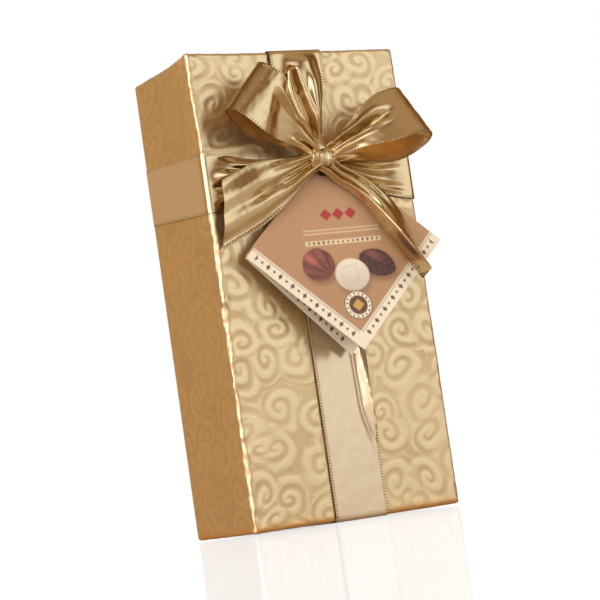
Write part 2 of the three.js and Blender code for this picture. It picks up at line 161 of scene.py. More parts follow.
def ripple(points, size, seed, waves=14):
    """Soft random waves of about the given length, with a spread of one"""
    rng = np.random.default_rng(seed)
    directions = unit(rng.normal(size=(waves, 3)))
    steps = directions * (2 * math.pi / size) * rng.uniform(0.6, 1.5, (waves, 1))
    phases = rng.uniform(0, 2 * math.pi, waves)
    return np.sin(points @ steps.T + phases).sum(-1) / math.sqrt(waves / 2)


def make_piece(name, points, faces, finish, uv=None, values=None, colours=None, sharp=None):
    """A mesh object from points in millimetres, with its UV map and named point values"""
    mesh = bpy.data.meshes.new(name)
    mesh.from_pydata((np.asarray(points) * MM).tolist(), [], [list(face) for face in faces])
    mesh.polygons.foreach_set("use_smooth", [True] * len(mesh.polygons))
    corners = np.zeros(len(mesh.loops), np.int32)
    mesh.loops.foreach_get("vertex_index", corners)
    if uv is not None:
        layer = mesh.uv_layers.new(name="cloth")
        layer.uv.foreach_set("vector", np.asarray(uv, np.float32)[corners].ravel())
    for label, numbers in (values or {}).items():
        attribute = mesh.attributes.new(label, "FLOAT", "POINT")
        attribute.data.foreach_set("value", np.asarray(numbers, np.float32).ravel())
    for label, numbers in (colours or {}).items():
        attribute = mesh.attributes.new(label, "FLOAT_COLOR", "POINT")
        rgba = np.concatenate([numbers, np.ones((len(numbers), 1))], 1)
        attribute.data.foreach_set("color", rgba.astype(np.float32).ravel())
    mesh.materials.append(finish)
    mesh.update()
    if sharp is not None:
        mesh.set_sharp_from_angle(angle=math.radians(sharp))
    piece = bpy.data.objects.new(name, mesh)
    bpy.context.scene.collection.objects.link(piece)
    return piece


def inset_grid(low, high, inset, columns, rows):
    """Places in X and Z over a box, from a little way in from its edges"""
    x = np.linspace(low[0] + inset, high[0] - inset, columns)
    z = np.linspace(low[2] + inset, high[2] - inset, rows)
    return np.meshgrid(x, z, indexing="ij")


def grid_faces(rows, columns, start=0, keep=None):
    """Quads of a grid of points, first along the rows, facing rows x columns"""
    faces = []
    for i in range(rows - 1):
        for j in range(columns - 1):
            if keep is None or keep[i, j]:
                a = start + i * columns + j
                faces.append((a, a + columns, a + columns + 1, a + 1))
    return faces


def grid_normals(points):
    return unit(np.cross(np.gradient(points, axis=0), np.gradient(points, axis=1)))


def ring_faces(rings, around, start=0):
    """Quads of a tube, from rings of points that follow each other"""
    faces = []
    for a in range(start, start + (rings - 1) * around, around):
        for j in range(around):
            k = (j + 1) % around
            faces.append((a + j, a + k, a + around + k, a + around + j))
    return faces


def closed_sheet(upper, under, keep=None):
    """Two grids of points as the faces of a sheet, with the cut edges between them"""
    rows, columns = upper.shape[:2]
    count = rows * columns
    top = grid_faces(rows, columns, 0, keep)
    faces = top + [tuple(corner + count for corner in reversed(face)) for face in top]
    edges = {edge: True for face in top for edge in zip(face, face[1:] + face[:1])}
    faces += [(b, a, a + count, b + count) for a, b in edges if (b, a) not in edges]
    return np.concatenate([upper.reshape(-1, 3), under.reshape(-1, 3)]), faces


def thick_sheet(points, thickness, keep=None):
    """A sheet of even thickness whose middle is a grid of points"""
    half = grid_normals(points) * thickness / 2
    return closed_sheet(points + half, points - half, keep)


def weld(piece, distance=1e-5):
    """Joins the points that lie on each other"""
    bare = bmesh.new()
    bare.from_mesh(piece.data)
    bmesh.ops.remove_doubles(bare, verts=bare.verts, dist=distance)
    bare.to_mesh(piece.data)
    bare.free()
    piece.data.update()


def attach(piece, body, slot, *nodes):
    """Ties a piece to its body and hides the solids that it stands for; the slot is not used"""
    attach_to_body(piece, body)
    if nodes:
        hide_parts(*nodes)


# ---------------------------------------------------------------- finishes


class Nodes:
    """A node tree, with short calls to add and join nodes"""

    def __init__(self, tree):
        self.tree = tree

    def put(self, socket, value):
        if isinstance(value, bpy.types.NodeSocket):
            self.tree.links.new(value, socket)
        else:
            socket.default_value = value

    def node(self, kind, inputs=None, **settings):
        node = self.tree.nodes.new(kind)
        for label, value in settings.items():
            setattr(node, label, value)
        for label, value in (inputs or {}).items():
            self.put(node.inputs[label], value)
        return node

    def joined(self, kind, operation, values):
        """A node of arithmetic, with its inputs in order"""
        node = self.node(kind, operation=operation)
        for socket, value in zip(node.inputs, values):
            self.put(socket, value)
        return node.outputs

    def math(self, operation, *values):
        return self.joined("ShaderNodeMath", operation, values)["Value"]

    def add(self, a, b):
        return self.math("ADD", a, b)

    def minus(self, a, b):
        return self.math("SUBTRACT", a, b)

    def times(self, a, b):
        return self.math("MULTIPLY", a, b)

    def vectors(self, operation, *values):
        outputs = self.joined("ShaderNodeVectorMath", operation, values)
        return outputs["Value" if operation in ("LENGTH", "DOT_PRODUCT") else "Vector"]

    def split(self, vector):
        """The parts of a vector along X, Y and Z"""
        return self.node("ShaderNodeSeparateXYZ", {"Vector": vector}).outputs

    def rays(self):
        """One where the camera looks at a thing, and one where it's seen in a mirror"""
        path = self.node("ShaderNodeLightPath").outputs
        seen = self.math("MAXIMUM", path["Is Camera Ray"], path["Is Transmission Ray"])
        return seen, path["Is Glossy Ray"]

    def span(self, value, low, high, to_low=0.0, to_high=1.0, curve="LINEAR"):
        return self.node("ShaderNodeMapRange", {
            "Value": value, "From Min": low, "From Max": high,
            "To Min": to_low, "To Max": to_high}, interpolation_type=curve).outputs["Result"]

    def mix(self, factor, a, b, blend="MIX"):
        node = self.node("ShaderNodeMix", data_type="RGBA", blend_type=blend)
        self.put(node.inputs[0], factor)
        for socket, colour in ((node.inputs[6], a), (node.inputs[7], b)):
            plain = isinstance(colour, (tuple, list))
            self.put(socket, (*colour, 1.0) if plain else colour)
        return node.outputs[2]


class Finish(Nodes):
    """A material with a glossy surface shader"""

    def __init__(self, name, roughness=0.5, metallic=0.0, **sockets):
        self.material = bpy.data.materials.new(name)
        self.material.use_nodes = True
        super().__init__(self.material.node_tree)
        self.shader = self.tree.nodes["Principled BSDF"]
        self.set(Roughness=roughness, Metallic=metallic, **sockets)

    def set(self, **sockets):
        for label, value in sockets.items():
            self.put(self.shader.inputs[label.replace("_", " ")], value)

    def place(self):
        return self.node("ShaderNodeTexCoord").outputs["Object"]

    def cloth_uv(self):
        return self.node("ShaderNodeUVMap", uv_map="cloth").outputs["UV"]

    def value(self, label, output="Fac"):
        return self.node("ShaderNodeAttribute", attribute_name=label).outputs[output]

    def scaled(self, vector, scale):
        return self.node("ShaderNodeMapping", {"Vector": vector, "Scale": scale}).outputs["Vector"]

    def noise(self, vector, scale, detail, rough=0.55):
        return self.node("ShaderNodeTexNoise", {
            "Vector": vector, "Scale": scale, "Detail": detail, "Roughness": rough}).outputs["Fac"]

    def bump(self, height, distance, strength, normal=None):
        inputs = {"Height": height, "Distance": distance, "Strength": strength}
        if normal is not None:
            inputs["Normal"] = normal
        return self.node("ShaderNodeBump", inputs).outputs["Normal"]

    def surface(self, colour, grain, rough, depth, strength):
        """Sets the colour, a roughness that follows the grain, and the grain as fine relief"""
        self.set(Base_Color=colour, Roughness=self.span(grain, 0.3, 0.7, *rough),
                 Normal=self.bump(grain, depth, strength))
        return self.material


def shade(colour, factor):
    return tuple(min(1.0, channel * factor) for channel in colour)


SCROLL_TURNS = 1.55


def scroll_groove(nodes, place, feature):
    """The groove of the nearest or the next scroll, the distance to its middle, and that over its radius"""
    own = sizes()
    cells = nodes.node("ShaderNodeTexVoronoi", {
        "Vector": place, "Scale": MM / own.scroll_spacing, "Randomness": 0.85},
        voronoi_dimensions="2D", feature=feature).outputs
    apart = nodes.vectors("SUBTRACT", place, cells["Position"])
    x, y, _ = nodes.split(apart)
    reach = nodes.vectors("LENGTH", apart)
    hand, start, large = nodes.split(cells["Color"])
    side = nodes.math("SIGN", nodes.minus(hand, 0.5))
    angle = nodes.math("ARCTAN2", nodes.times(y, side), x)
    turn = nodes.add(nodes.math("DIVIDE", angle, 2 * math.pi), start)
    radius = own.scroll_radius / MM
    away = nodes.math("DIVIDE", reach, nodes.span(large, 0.0, 1.0, 0.85 * radius, 1.15 * radius))
    wound = nodes.times(nodes.math("POWER", away, 0.8), SCROLL_TURNS)
    wound = nodes.math("FRACT", nodes.add(nodes.minus(wound, turn), 4.0))
    from_groove = nodes.times(nodes.math("ABSOLUTE", nodes.minus(wound, 0.5)), 2.0)
    half = 2 * SCROLL_TURNS * own.stroke / own.scroll_radius
    groove = nodes.span(from_groove, 0.3 * half, 1.7 * half, 1.0, 0.0, "SMOOTHSTEP")
    return nodes.times(groove, nodes.span(away, 0.06, 0.22)), reach, away


def scroll_relief(nodes, place):
    """One on broad scrolls and nought in the grooves that draw them, from flat places in millimetres"""
    drift = nodes.node("ShaderNodeTexNoise", {"Vector": place, "Scale": 0.055, "Detail": 0.0})
    place = nodes.vectors("MULTIPLY_ADD", drift.outputs["Color"], (8.0, 8.0, 0.0), place)
    groove, reach, away = scroll_groove(nodes, place, "F1")
    other, other_reach, _ = scroll_groove(nodes, place, "F2")
    gap = nodes.minus(other_reach, reach)
    own_share = nodes.span(gap, 0.0, 0.3 * sizes().scroll_spacing / MM, 0.5, 1.0, "SMOOTHSTEP")
    groove = nodes.add(nodes.times(groove, own_share), nodes.times(other, nodes.minus(1.0, own_share)))
    dart = nodes.span(away, 1.3, 1.5, 0.0, 0.9, "SMOOTHSTEP")
    worn = nodes.node("ShaderNodeTexNoise", {"Vector": place, "Scale": 0.03, "Detail": 1.0})
    depth = nodes.span(worn.outputs["Fac"], 0.36, 0.6, 0.6, 1.0)
    return nodes.minus(1.0, nodes.times(depth, nodes.math("MAXIMUM", groove, dart)))


def gold_paper():
    """Satin gold foil paper, with painted shade in the grooves of its scrolls and along its lower edge"""
    finish = Finish("embossed_gold_paper", metallic=0.92)
    colour = tuple(sizes().paper_colour)
    place = finish.place()
    relief = scroll_relief(finish, finish.cloth_uv())
    # Painted shade: the grooves and the gaps between scrolls take a darker, more saturated copy of the paper
    # colour
    groove = tuple(channel * factor for channel, factor in zip(colour, (0.89, 0.85, 0.77)))
    face = finish.mix(relief, groove, colour)
    cloud = finish.noise(place, 55.0, 2.0)
    aged = finish.mix(finish.span(cloud, 0.35, 0.7, 0.0, 0.16), face, shade(colour, 0.72))
    # Painted shade along the lower edge: the colour turns darker and warmer over the last few millimetres
    # above the foot
    low = finish.split(place)["Z"]
    finish.set(Base_Color=finish.mix(finish.span(low, 0.0048, 0.0018, 0.0, 0.8), aged, (0.72, 0.42, 0.15)))
    grain = finish.noise(place, 2600.0, 4.0, 0.6)
    satin = finish.span(grain, 0.3, 0.7, 0.25, 0.35)
    finish.set(Roughness=finish.add(satin, finish.span(relief, 0.0, 1.0, 0.14, 0.0)))
    soft = finish.bump(relief, sizes().emboss_height, 0.4)
    finish.set(Normal=finish.bump(grain, 0.00006, 0.35, soft))
    return finish.material


def gold_ribbon():
    """Metal-thread ribbon: cross weave, lengthwise streaks and a beaded selvedge on both edges"""
    finish = Finish("gold_ribbon", metallic=1.0)
    colour = tuple(sizes().ribbon_colour)
    uv = finish.cloth_uv()
    along, across, _ = finish.split(uv)
    streaks = finish.noise(finish.scaled(uv, (0.05, 3.0, 1.0)), 1.0, 3.0)
    thread = finish.noise(finish.scaled(uv, (7.0, 0.8, 1.0)), 1.0, 2.0)
    speck = finish.noise(finish.scaled(uv, (4.5, 4.5, 1.0)), 1.0, 3.0)
    edge = finish.span(finish.math("ABSOLUTE", across), 11.3, 11.6)
    bead = finish.times(edge, finish.span(finish.math("SINE", finish.times(along, 5.0)), -0.2, 0.4))
    # Painted light: the inner face of a hollow loop (inside) gets a lighter, warmer colour, standing in for
    # light bounced inside the loop, and a rougher surface
    inside, satin = finish.value("inside"), finish.value("satin")
    # Painted light: where the ribbon lies flat (satin) it takes the paler flat-band colour, a lit copy of the
    # bow's darker colour
    face = finish.mix(satin, finish.mix(inside, colour, (0.80, 0.585, 0.30)), tuple(sizes().flat_band_lit_colour))
    face = finish.mix(1.0, face, finish.span(streaks, 0.3, 0.7, 0.93, 1.05), "MULTIPLY")
    finish.set(Metallic=finish.span(satin, 0.0, 1.0, 1.0, 0.7))
    dark_edge = finish.mix(finish.times(edge, 0.7), face, shade(colour, 0.35))
    finish.set(Base_Color=finish.mix(bead, dark_edge, shade(colour, 1.2)))
    rough = finish.span(speck, 0.3, 0.7, 0.12, 0.23)
    finish.set(Roughness=finish.add(rough, finish.times(inside, 0.17)))
    weave = finish.add(finish.times(thread, 0.5), finish.times(speck, 0.5))
    height = finish.add(weave, finish.times(bead, 3.0))
    finish.set(Normal=finish.bump(height, 0.00005, 0.35))
    return finish.material


def tag_print():
    """Coated card with its printed picture held as a colour on its points"""
    finish = Finish("printed_tag_card", Coat_Weight=0.12, Coat_Roughness=0.25)
    fibre = finish.noise(finish.place(), 900.0, 4.0)
    ink = finish.mix(finish.span(fibre, 0.35, 0.65, 0.0, 0.10), finish.value("print", "Color"),
                     (0.35, 0.2, 0.1))
    return finish.surface(ink, fibre, (0.36, 0.50), 0.00004, 0.4)


def board(name, colour, scale=700.0, rough=(0.75, 0.95), metallic=0.0):
    """Card or board with fine fibres and faint clouds"""
    finish = Finish(name, metallic=metallic)
    place = finish.place()
    fibre = finish.noise(place, scale, 5.0, 0.65)
    cloud = finish.noise(place, 40.0, 2.0)
    base = finish.mix(finish.span(fibre, 0.3, 0.7), shade(colour, 0.86), shade(colour, 1.08))
    clouded = finish.mix(finish.span(cloud, 0.4, 0.7, 0.0, 0.2), base, shade(colour, 0.8))
    return finish.surface(clouded, fibre, rough, 0.0001, 0.4)


def chocolate(name, colour, sheen):
    """Tempered chocolate: satin gloss, faint bloom and fine mould marks"""
    finish = Finish(name, Coat_Weight=0.25, Coat_Roughness=0.3)
    place = finish.place()
    cloud = finish.noise(place, 120.0, 4.0)
    pits = finish.noise(place, 1800.0, 3.0)
    bloom = tuple(channel + sheen * (0.9 - channel) for channel in colour)
    finish.set(Base_Color=finish.mix(finish.span(cloud, 0.42, 0.72), colour, bloom))
    finish.set(Roughness=finish.span(cloud, 0.3, 0.7, 0.30, 0.46))
    finish.set(Normal=finish.bump(pits, 0.00008, 0.3))
    return finish.material


def tray_film():
    """Thin gold film of the formed trays, with drawn streaks"""
    finish = Finish("gold_tray_film", metallic=0.75)
    streak = finish.noise(finish.scaled(finish.place(), (900.0, 900.0, 60.0)), 1.0, 3.0)
    gold = finish.mix(streak, (0.50, 0.33, 0.12), (0.66, 0.47, 0.20))
    return finish.surface(gold, streak, (0.22, 0.38), 0.00005, 0.3)


def pad_paper():
    """Soft white embossed pad paper"""
    finish = Finish("pad_paper", roughness=0.85, Sheen_Weight=0.15)
    fibre = finish.noise(finish.place(), 1300.0, 5.0, 0.7)
    finish.set(Base_Color=finish.mix(finish.span(fibre, 0.3, 0.7), (0.80, 0.74, 0.63), (0.90, 0.86, 0.78)))
    finish.set(Normal=finish.bump(fibre, 0.00012, 0.5))
    return finish.material


def finish_named(name, make, *details):
    """The finish of that name, made once and then shared"""
    return bpy.data.materials.get(name) or make(*details)


# ---------------------------------------------------------------- geometry node recipes


class Recipe(Nodes):
    """A Geometry Nodes tree with named inputs, used once on a carrier mesh"""

    def __init__(self, name, **inputs):
        super().__init__(bpy.data.node_groups.new(name, "GeometryNodeTree"))
        sockets = self.tree.interface
        sockets.new_socket("Geometry", in_out="INPUT", socket_type="NodeSocketGeometry")
        self.keys = {}
        for label, kind in inputs.items():
            socket = sockets.new_socket(label.replace("_", " "), in_out="INPUT",
                                        socket_type="NodeSocket" + kind)
            self.keys[label] = socket.identifier
        sockets.new_socket("Geometry", in_out="OUTPUT", socket_type="NodeSocketGeometry")
        self.start = self.tree.nodes.new("NodeGroupInput")
        self.geometry = self.start.outputs["Geometry"]

    def given(self, label):
        return self.start.outputs[label.replace("_", " ")]

    def vector(self, x=0.0, y=0.0, z=0.0):
        return self.node("ShaderNodeCombineXYZ", {"X": x, "Y": y, "Z": z}).outputs["Vector"]

    def random(self, low, high, seed):
        node = self.node("FunctionNodeRandomValue", data_type="FLOAT")
        for socket in node.inputs:
            if socket.enabled and socket.name in ("Min", "Max", "Seed"):
                self.put(socket, {"Min": low, "Max": high, "Seed": seed}[socket.name])
        return next(socket for socket in node.outputs if socket.enabled)

    def finish(self, geometry):
        """Real geometry with its finish, as the tree's result"""
        real = self.node("GeometryNodeRealizeInstances", {"Geometry": geometry})
        painted = self.node("GeometryNodeSetMaterial", {
            "Geometry": real.outputs["Geometry"], "Material": self.given("Finish")})
        end = self.tree.nodes.new("NodeGroupOutput")
        self.put(end.inputs["Geometry"], painted.outputs["Geometry"])

    def make(self, carrier, **values):
        """Runs the tree on a carrier, and leaves the result as the carrier's plain mesh"""
        modifier = carrier.modifiers.new(self.tree.name, "NODES")
        modifier.node_group = self.tree
        for label, value in values.items():
            modifier[self.keys[label]] = value
        bpy.context.view_layer.update()
        graph = bpy.context.evaluated_depsgraph_get()
        mesh = bpy.data.meshes.new_from_object(
            carrier.evaluated_get(graph), preserve_all_data_layers=True, depsgraph=graph)
        carrier.modifiers.remove(modifier)
        flat = carrier.data
        carrier.data = mesh
        bpy.data.meshes.remove(flat)
        return carrier


def scroll_recipe():
    """Raises the scrolls on a flat sheet, with their relief as a point value named emboss"""
    recipe = Recipe("embossed_scrolls", Height="Float", Finish="Material")
    place = recipe.node("GeometryNodeInputPosition").outputs["Position"]
    relief = scroll_relief(recipe, recipe.vectors("MULTIPLY", place, (1 / MM,) * 3))
    stored = recipe.node("GeometryNodeStoreNamedAttribute", {
        "Geometry": recipe.geometry, "Name": "emboss", "Value": relief}, data_type="FLOAT")
    lifted = recipe.node("GeometryNodeSetPosition", {
        "Geometry": stored.outputs["Geometry"],
        "Offset": recipe.vector(0.0, 0.0, recipe.times(relief, recipe.given("Height")))})
    recipe.finish(lifted.outputs["Geometry"])
    return recipe


def layout_recipe():
    """Sets a copy of one moulded piece on each point of a carrier, each with a small turn of its own"""
    recipe = Recipe("laid_out_pralines", Piece="Object", Turn="Float", Seed="Int", Finish="Material")
    piece = recipe.node("GeometryNodeObjectInfo", {"Object": recipe.given("Piece"), "As Instance": True})
    turn = recipe.times(recipe.random(-1.0, 1.0, recipe.given("Seed")), recipe.given("Turn"))
    placed = recipe.node("GeometryNodeInstanceOnPoints", {
        "Points": recipe.geometry, "Instance": piece.outputs["Geometry"],
        "Rotation": recipe.vector(0.0, turn, 0.0)})
    recipe.finish(placed.outputs["Instances"])
    return recipe


# ---------------------------------------------------------------- paper


CORNER = 1.5
FOOT_CORNER = 2.1
WORN_CORNER, MOST_WORN = 2.4, 3.1
ACROSS_STEPS, UP_STEPS, DEEP_STEPS = 142, 287, 61
TURN_IN = np.array([0.4, 0.9, 1.4, 1.9])


def paper_faces():
    """The five faces of the lid's cover as grids: flat places, places on the box, and the way in
    behind the rim"""
    across = np.linspace(-HALF_WIDTH, HALF_WIDTH, ACROSS_STEPS)
    up = np.linspace(FOOT, TOP, UP_STEPS)
    depth = RIM - FRONT
    deep = np.concatenate([np.linspace(0, depth, DEEP_STEPS), depth + TURN_IN])
    a, b = np.meshgrid(across, up, indexing="ij")
    front = np.stack([a, np.full_like(a, FRONT), b], -1)
    faces = [(front[..., [0, 2]], front, np.zeros_like(front))]
    # Each wall: the axis it faces along, its side, where it stands, the line along it, and the turn
    # that lets its quads face out
    walls = ((0, -1, -HALF_WIDTH, up, False), (0, 1, HALF_WIDTH, up, True),
             (2, 1, TOP, across, False), (2, -1, FOOT, across, True))
    for axis, side, edge, line, deep_first in walls:
        if deep_first:
            d, c = np.meshgrid(deep, line, indexing="ij")
        else:
            c, d = np.meshgrid(line, deep, indexing="ij")
        flat = [edge + side * d, c] if axis == 0 else [c, edge + side * d]
        box = np.stack([c, FRONT + np.minimum(d, depth), c], -1)
        box[..., axis] = edge
        inwards = np.zeros_like(box)
        inwards[..., axis] = -side * np.maximum(d - depth, 0)
        faces.append((np.stack(flat, -1), box, inwards))
    return faces


def from_left_edge(points):
    """Distance to the upright edge between the front and the left side"""
    return np.hypot(points[:, 0] + HALF_WIDTH, points[:, 1] - FRONT)


def rounded(points):
    """Points of a sharp box moved onto one with rounded edges, and the directions out of its surface"""
    low = np.array([-HALF_WIDTH + CORNER, FRONT + CORNER, FOOT + CORNER])
    high = np.array([HALF_WIDTH - CORNER, 1e6, TOP - CORNER])
    inner = np.clip(points, low, high)
    normals = unit(points - inner)
    moved = inner + CORNER * normals
    # A larger round where the front meets the bottom
    centre = np.array([FRONT + FOOT_CORNER, FOOT + FOOT_CORNER])
    from_centre = moved[:, 1:] - centre
    reach = np.linalg.norm(from_centre, axis=1)
    turned = (from_centre < 0).all(1)
    beyond = turned & (reach > FOOT_CORNER)
    moved[beyond, 1:] = centre + from_centre[beyond] * (FOOT_CORNER / reach[beyond])[:, None]
    normals[turned, 1:] = unit(from_centre[turned])
    # An uneven, worn round along the upright edge on the left, which stands out a little towards the top
    upright = moved * np.array([0, 0, 1.0])
    wear = WORN_CORNER + 0.5 * ripple(upright, 16.0, 51) + 0.35 * ripple(upright, 6.0, 52)
    wear = np.clip(wear, CORNER, MOST_WORN)
    from_edge = moved[:, :2] - np.array([-HALF_WIDTH, FRONT]) - wear[:, None]
    reach = np.linalg.norm(from_edge, axis=1)
    beyond = (from_edge < 0).all(1) & (reach > wear)
    moved[beyond, :2] += from_edge[beyond] * (wear[beyond] / reach[beyond] - 1)[:, None]
    normals[beyond] = unit(np.c_[from_edge[beyond], np.zeros(beyond.sum())])
    puffed = bell(from_left_edge(moved), 0, 6.0)
    moved += puffed[:, None] * np.array([-0.42, -0.42, 0.0])
    flare = climb(moved[:, 2], 160, 40) * bell(from_left_edge(moved), 0, 14.0)
    moved += flare[:, None] * np.array([-1.2, -0.3, 0.5])
    return moved, unit(normals)


def under_ribbon(points):
    """One where a ribbon presses on the paper, nought elsewhere"""
    x, z = points[:, 0] - KNOT[0], points[:, 2] - KNOT[2] + BAND_DROP
    upright = fade(np.abs(x), 12.0, 2.8)
    level = fade(np.abs(z), 12.6, 1.9)
    on_end = (points[:, 2] < FOOT + 2) | (points[:, 2] > TOP - 2)
    on_side = np.abs(points[:, 0]) > HALF_WIDTH - 2
    return np.where(on_end, upright, np.where(on_side, level, np.maximum(upright, level)))


class CHOCBOX_OT_paper(bpy.types.Operator):
    """Gold paper over the lid, embossed flat with scrolls and then folded round the box"""

    bl_idname = "chocbox.paper"
    bl_label = "Embossed paper"

    def execute(self, context):
        finish = gold_paper()
        faces = paper_faces()
        flat, box, inwards = (
            np.concatenate([grid.reshape(-1, grid.shape[-1]) for grid in grids]) for grids in zip(*faces))
        quads, start = [], 0
        for grid, _, _ in faces:
            quads += grid_faces(*grid.shape[:2], start)
            start += grid[..., 0].size
        sheet = make_piece("paper_sheet", np.c_[flat, np.zeros(len(flat))], quads, finish)
        own = sizes()
        scroll_recipe().make(sheet, Height=own.emboss_height, Finish=finish)
        emboss = np.zeros(len(flat), np.float32)
        sheet.data.attributes["emboss"].data.foreach_get("value", emboss)
        bpy.data.objects.remove(sheet)

        points, normals = rounded(box)
        pressed = under_ribbon(points)
        to_edge = from_left_edge(points)
        others = np.sort(np.stack([
            HALF_WIDTH - np.abs(points[:, 0]), points[:, 1] - FRONT,
            np.minimum(points[:, 2] - FOOT, TOP - points[:, 2])]), axis=0)[1]
        crease = 0.22 * bell(to_edge, 0, 3.2) * np.clip(ripple(points, 7.5, 21), -0.5, 1.8)
        crease += 0.12 * bell(to_edge, 0, 5.0) * np.clip(ripple(points, 11.0, 22), -1, 1.5)
        crease += 0.03 * bell(others, 0, 1.8) * ripple(points, 12.0, 23)
        slack = 0.07 * ripple(points, 48.0, 24)
        height = (emboss - 1) * own.emboss_height / MM * (1 - pressed)
        height += (crease + slack) * (1 - 0.8 * pressed)
        height = np.maximum(height - 0.26 * pressed, -0.3)
        height *= fade(points[:, 1] - RIM, -2.5, 2.5)
        foot = climb(points[:, 2], FOOT, 1.5)
        height = np.where(points[:, 2] < FOOT + 1.5, np.clip(height, -0.3, 0.05 + foot * 0.4), height)
        moved = points + normals * height[:, None] + inwards
        piece = make_piece("paper_cover", moved, quads, finish, uv=flat)
        weld(piece)
        attach(piece, "lid", "foil_paper", "lid_paper")
        return {"FINISHED"}


# ---------------------------------------------------------------- ribbon


def uneven_pleats(count, seed, columns):
    """Heights from 0 to 1 across a gathered ribbon with that many unlike pleats"""
    rng = np.random.default_rng(seed)
    t = np.linspace(0, 1, columns)
    bend = np.sin(math.pi * t) * (0.07 * np.sin(2 * math.pi * t + rng.uniform(0, 6))
                                  + 0.04 * np.sin(4 * math.pi * t + rng.uniform(0, 6)))
    phase = np.clip(t + bend, 0, 1) * count
    tall = rng.uniform(0.72, 1.0, count + 1)[np.minimum(phase.astype(int), count)]
    tall = np.convolve(np.pad(tall, 2, mode="edge"), np.ones(5) / 5, mode="valid")
    return tall * (0.5 - 0.5 * np.cos(2 * math.pi * phase))


def pleat_height(width, profile):
    """How tall pleats of that profile stand where the whole ribbon is drawn in to a width"""
    step, change = width / (len(profile) - 1), np.diff(profile)
    low, high = np.zeros_like(width), np.full_like(width, TALLEST_PLEAT)
    for _ in range(22):
        middle = (low + high) / 2
        length = np.sqrt(step ** 2 + (middle * change) ** 2).sum(1, keepdims=True)
        high = np.where(length > RIBBON_WIDTH, middle, high)
        low = np.where(length > RIBBON_WIDTH, low, middle)
    return (low + high) / 2


def pleated(width, count, seed, tallest, kept, columns=RIBBON_COLUMNS):
    """Places across a ribbon, and the heights of its pleats where it is drawn in to those widths.
    Values along a ribbon are columns, so that they spread over the places across it."""
    profile = uneven_pleats(count, seed, columns)
    tall = np.minimum(pleat_height(width, profile), tallest) * kept
    return np.linspace(-1, 1, columns), tall * profile


def gathered(opened):
    """Width of the ribbon, from drawn in at the knot to fully opened"""
    return GATHER_WIDTH + (RIBBON_WIDTH - GATHER_WIDTH) * opened


def spread_out(middle, width, q, across, height, face):
    """Points across a ribbon, from the middle line with its widths, and the heights over it"""
    sideways = q * width / 2
    return middle[:, None, :] + sideways[..., None] * across + height[..., None] * face


def ribbon_piece(name, points, seed, wrinkle,
                 hollow=False, satin=0.0):
    """A woven ribbon of even thickness whose middle is a grid of points, along it and then across.
    A hollow one marks its inner face, which the finish makes rougher and paints lighter and warmer as painted
    bounce light, and satin marks where it lies flat, which the finish paints in the paler band colour as
    painted light."""
    rows, columns = points.shape[:2]
    normals = grid_normals(points)
    fine = wrinkle * (0.8 * ripple(points, 9.0, seed) + 0.35 * ripple(points, 3.6, seed + 1))
    points = points + normals * fine[..., None]
    points[..., 2] = np.maximum(points[..., 2], ABOVE_FLOOR)
    solid, faces = thick_sheet(points, sizes().ribbon_thickness / MM)
    threads = np.linalg.norm(np.diff(points, axis=0), axis=2)
    along = np.concatenate([[0], np.cumsum(threads.mean(1))])
    across = np.linspace(-RIBBON_WIDTH / 2, RIBBON_WIDTH / 2, columns)
    uv = np.stack(np.meshgrid(along, across, indexing="ij"), -1).reshape(-1, 2)
    finish = finish_named("gold_ribbon", gold_ribbon)
    outwards = (normals * (points - points.mean((0, 1)))).sum() > 0
    # Marks the inner face of a hollow loop, which the finish paints lighter and warmer as painted bounce
    # light
    inside = np.repeat([0.0, 1.0] if outwards else [1.0, 0.0], rows * columns) * hollow
    # Where the ribbon lies flat, for the paler band colour that is painted there as light
    weave = np.tile(np.broadcast_to(satin, (rows, columns)).ravel(), 2)
    piece = make_piece(name, solid, faces, finish, uv=np.concatenate([uv, uv]),
                       values={"inside": inside, "satin": weave}, sharp=60)
    return piece


def arm_path(to_edge):
    """Stations of an arm from the knot over the box's edge to the inside of the rim:
    run from the knot, depth, and the direction out of the surface, with its share of the side passed"""
    edge, rim = CORNER, 0.5
    stations = []
    for run in np.concatenate([np.linspace(4.6, 36, 44), np.arange(37.2, to_edge - edge, 1.2)]):
        if run < to_edge - edge:
            stations.append((run, FRONT, 0.0, -1.0, 0.0))
    for turn in np.linspace(0, math.pi / 2, 7):
        stations.append((to_edge - edge + edge * math.sin(turn), FRONT + edge - edge * math.cos(turn),
                         math.sin(turn), -math.cos(turn), 0.0))
    for share in np.linspace(0.04, 1, 26):
        stations.append((to_edge, FRONT + edge + (RIM - rim - FRONT - edge) * share, 1.0, 0.0, share))
    for turn in np.linspace(0.2, math.pi / 2, 5):
        stations.append((to_edge - rim + rim * math.cos(turn), RIM - rim + rim * math.sin(turn),
                         math.cos(turn), math.sin(turn), 1.0))
    for inwards in (0.6, 1.2, 1.7):
        stations.append((to_edge - rim - inwards, RIM, 0.0, 1.0, 1.0))
    return np.array(stations)


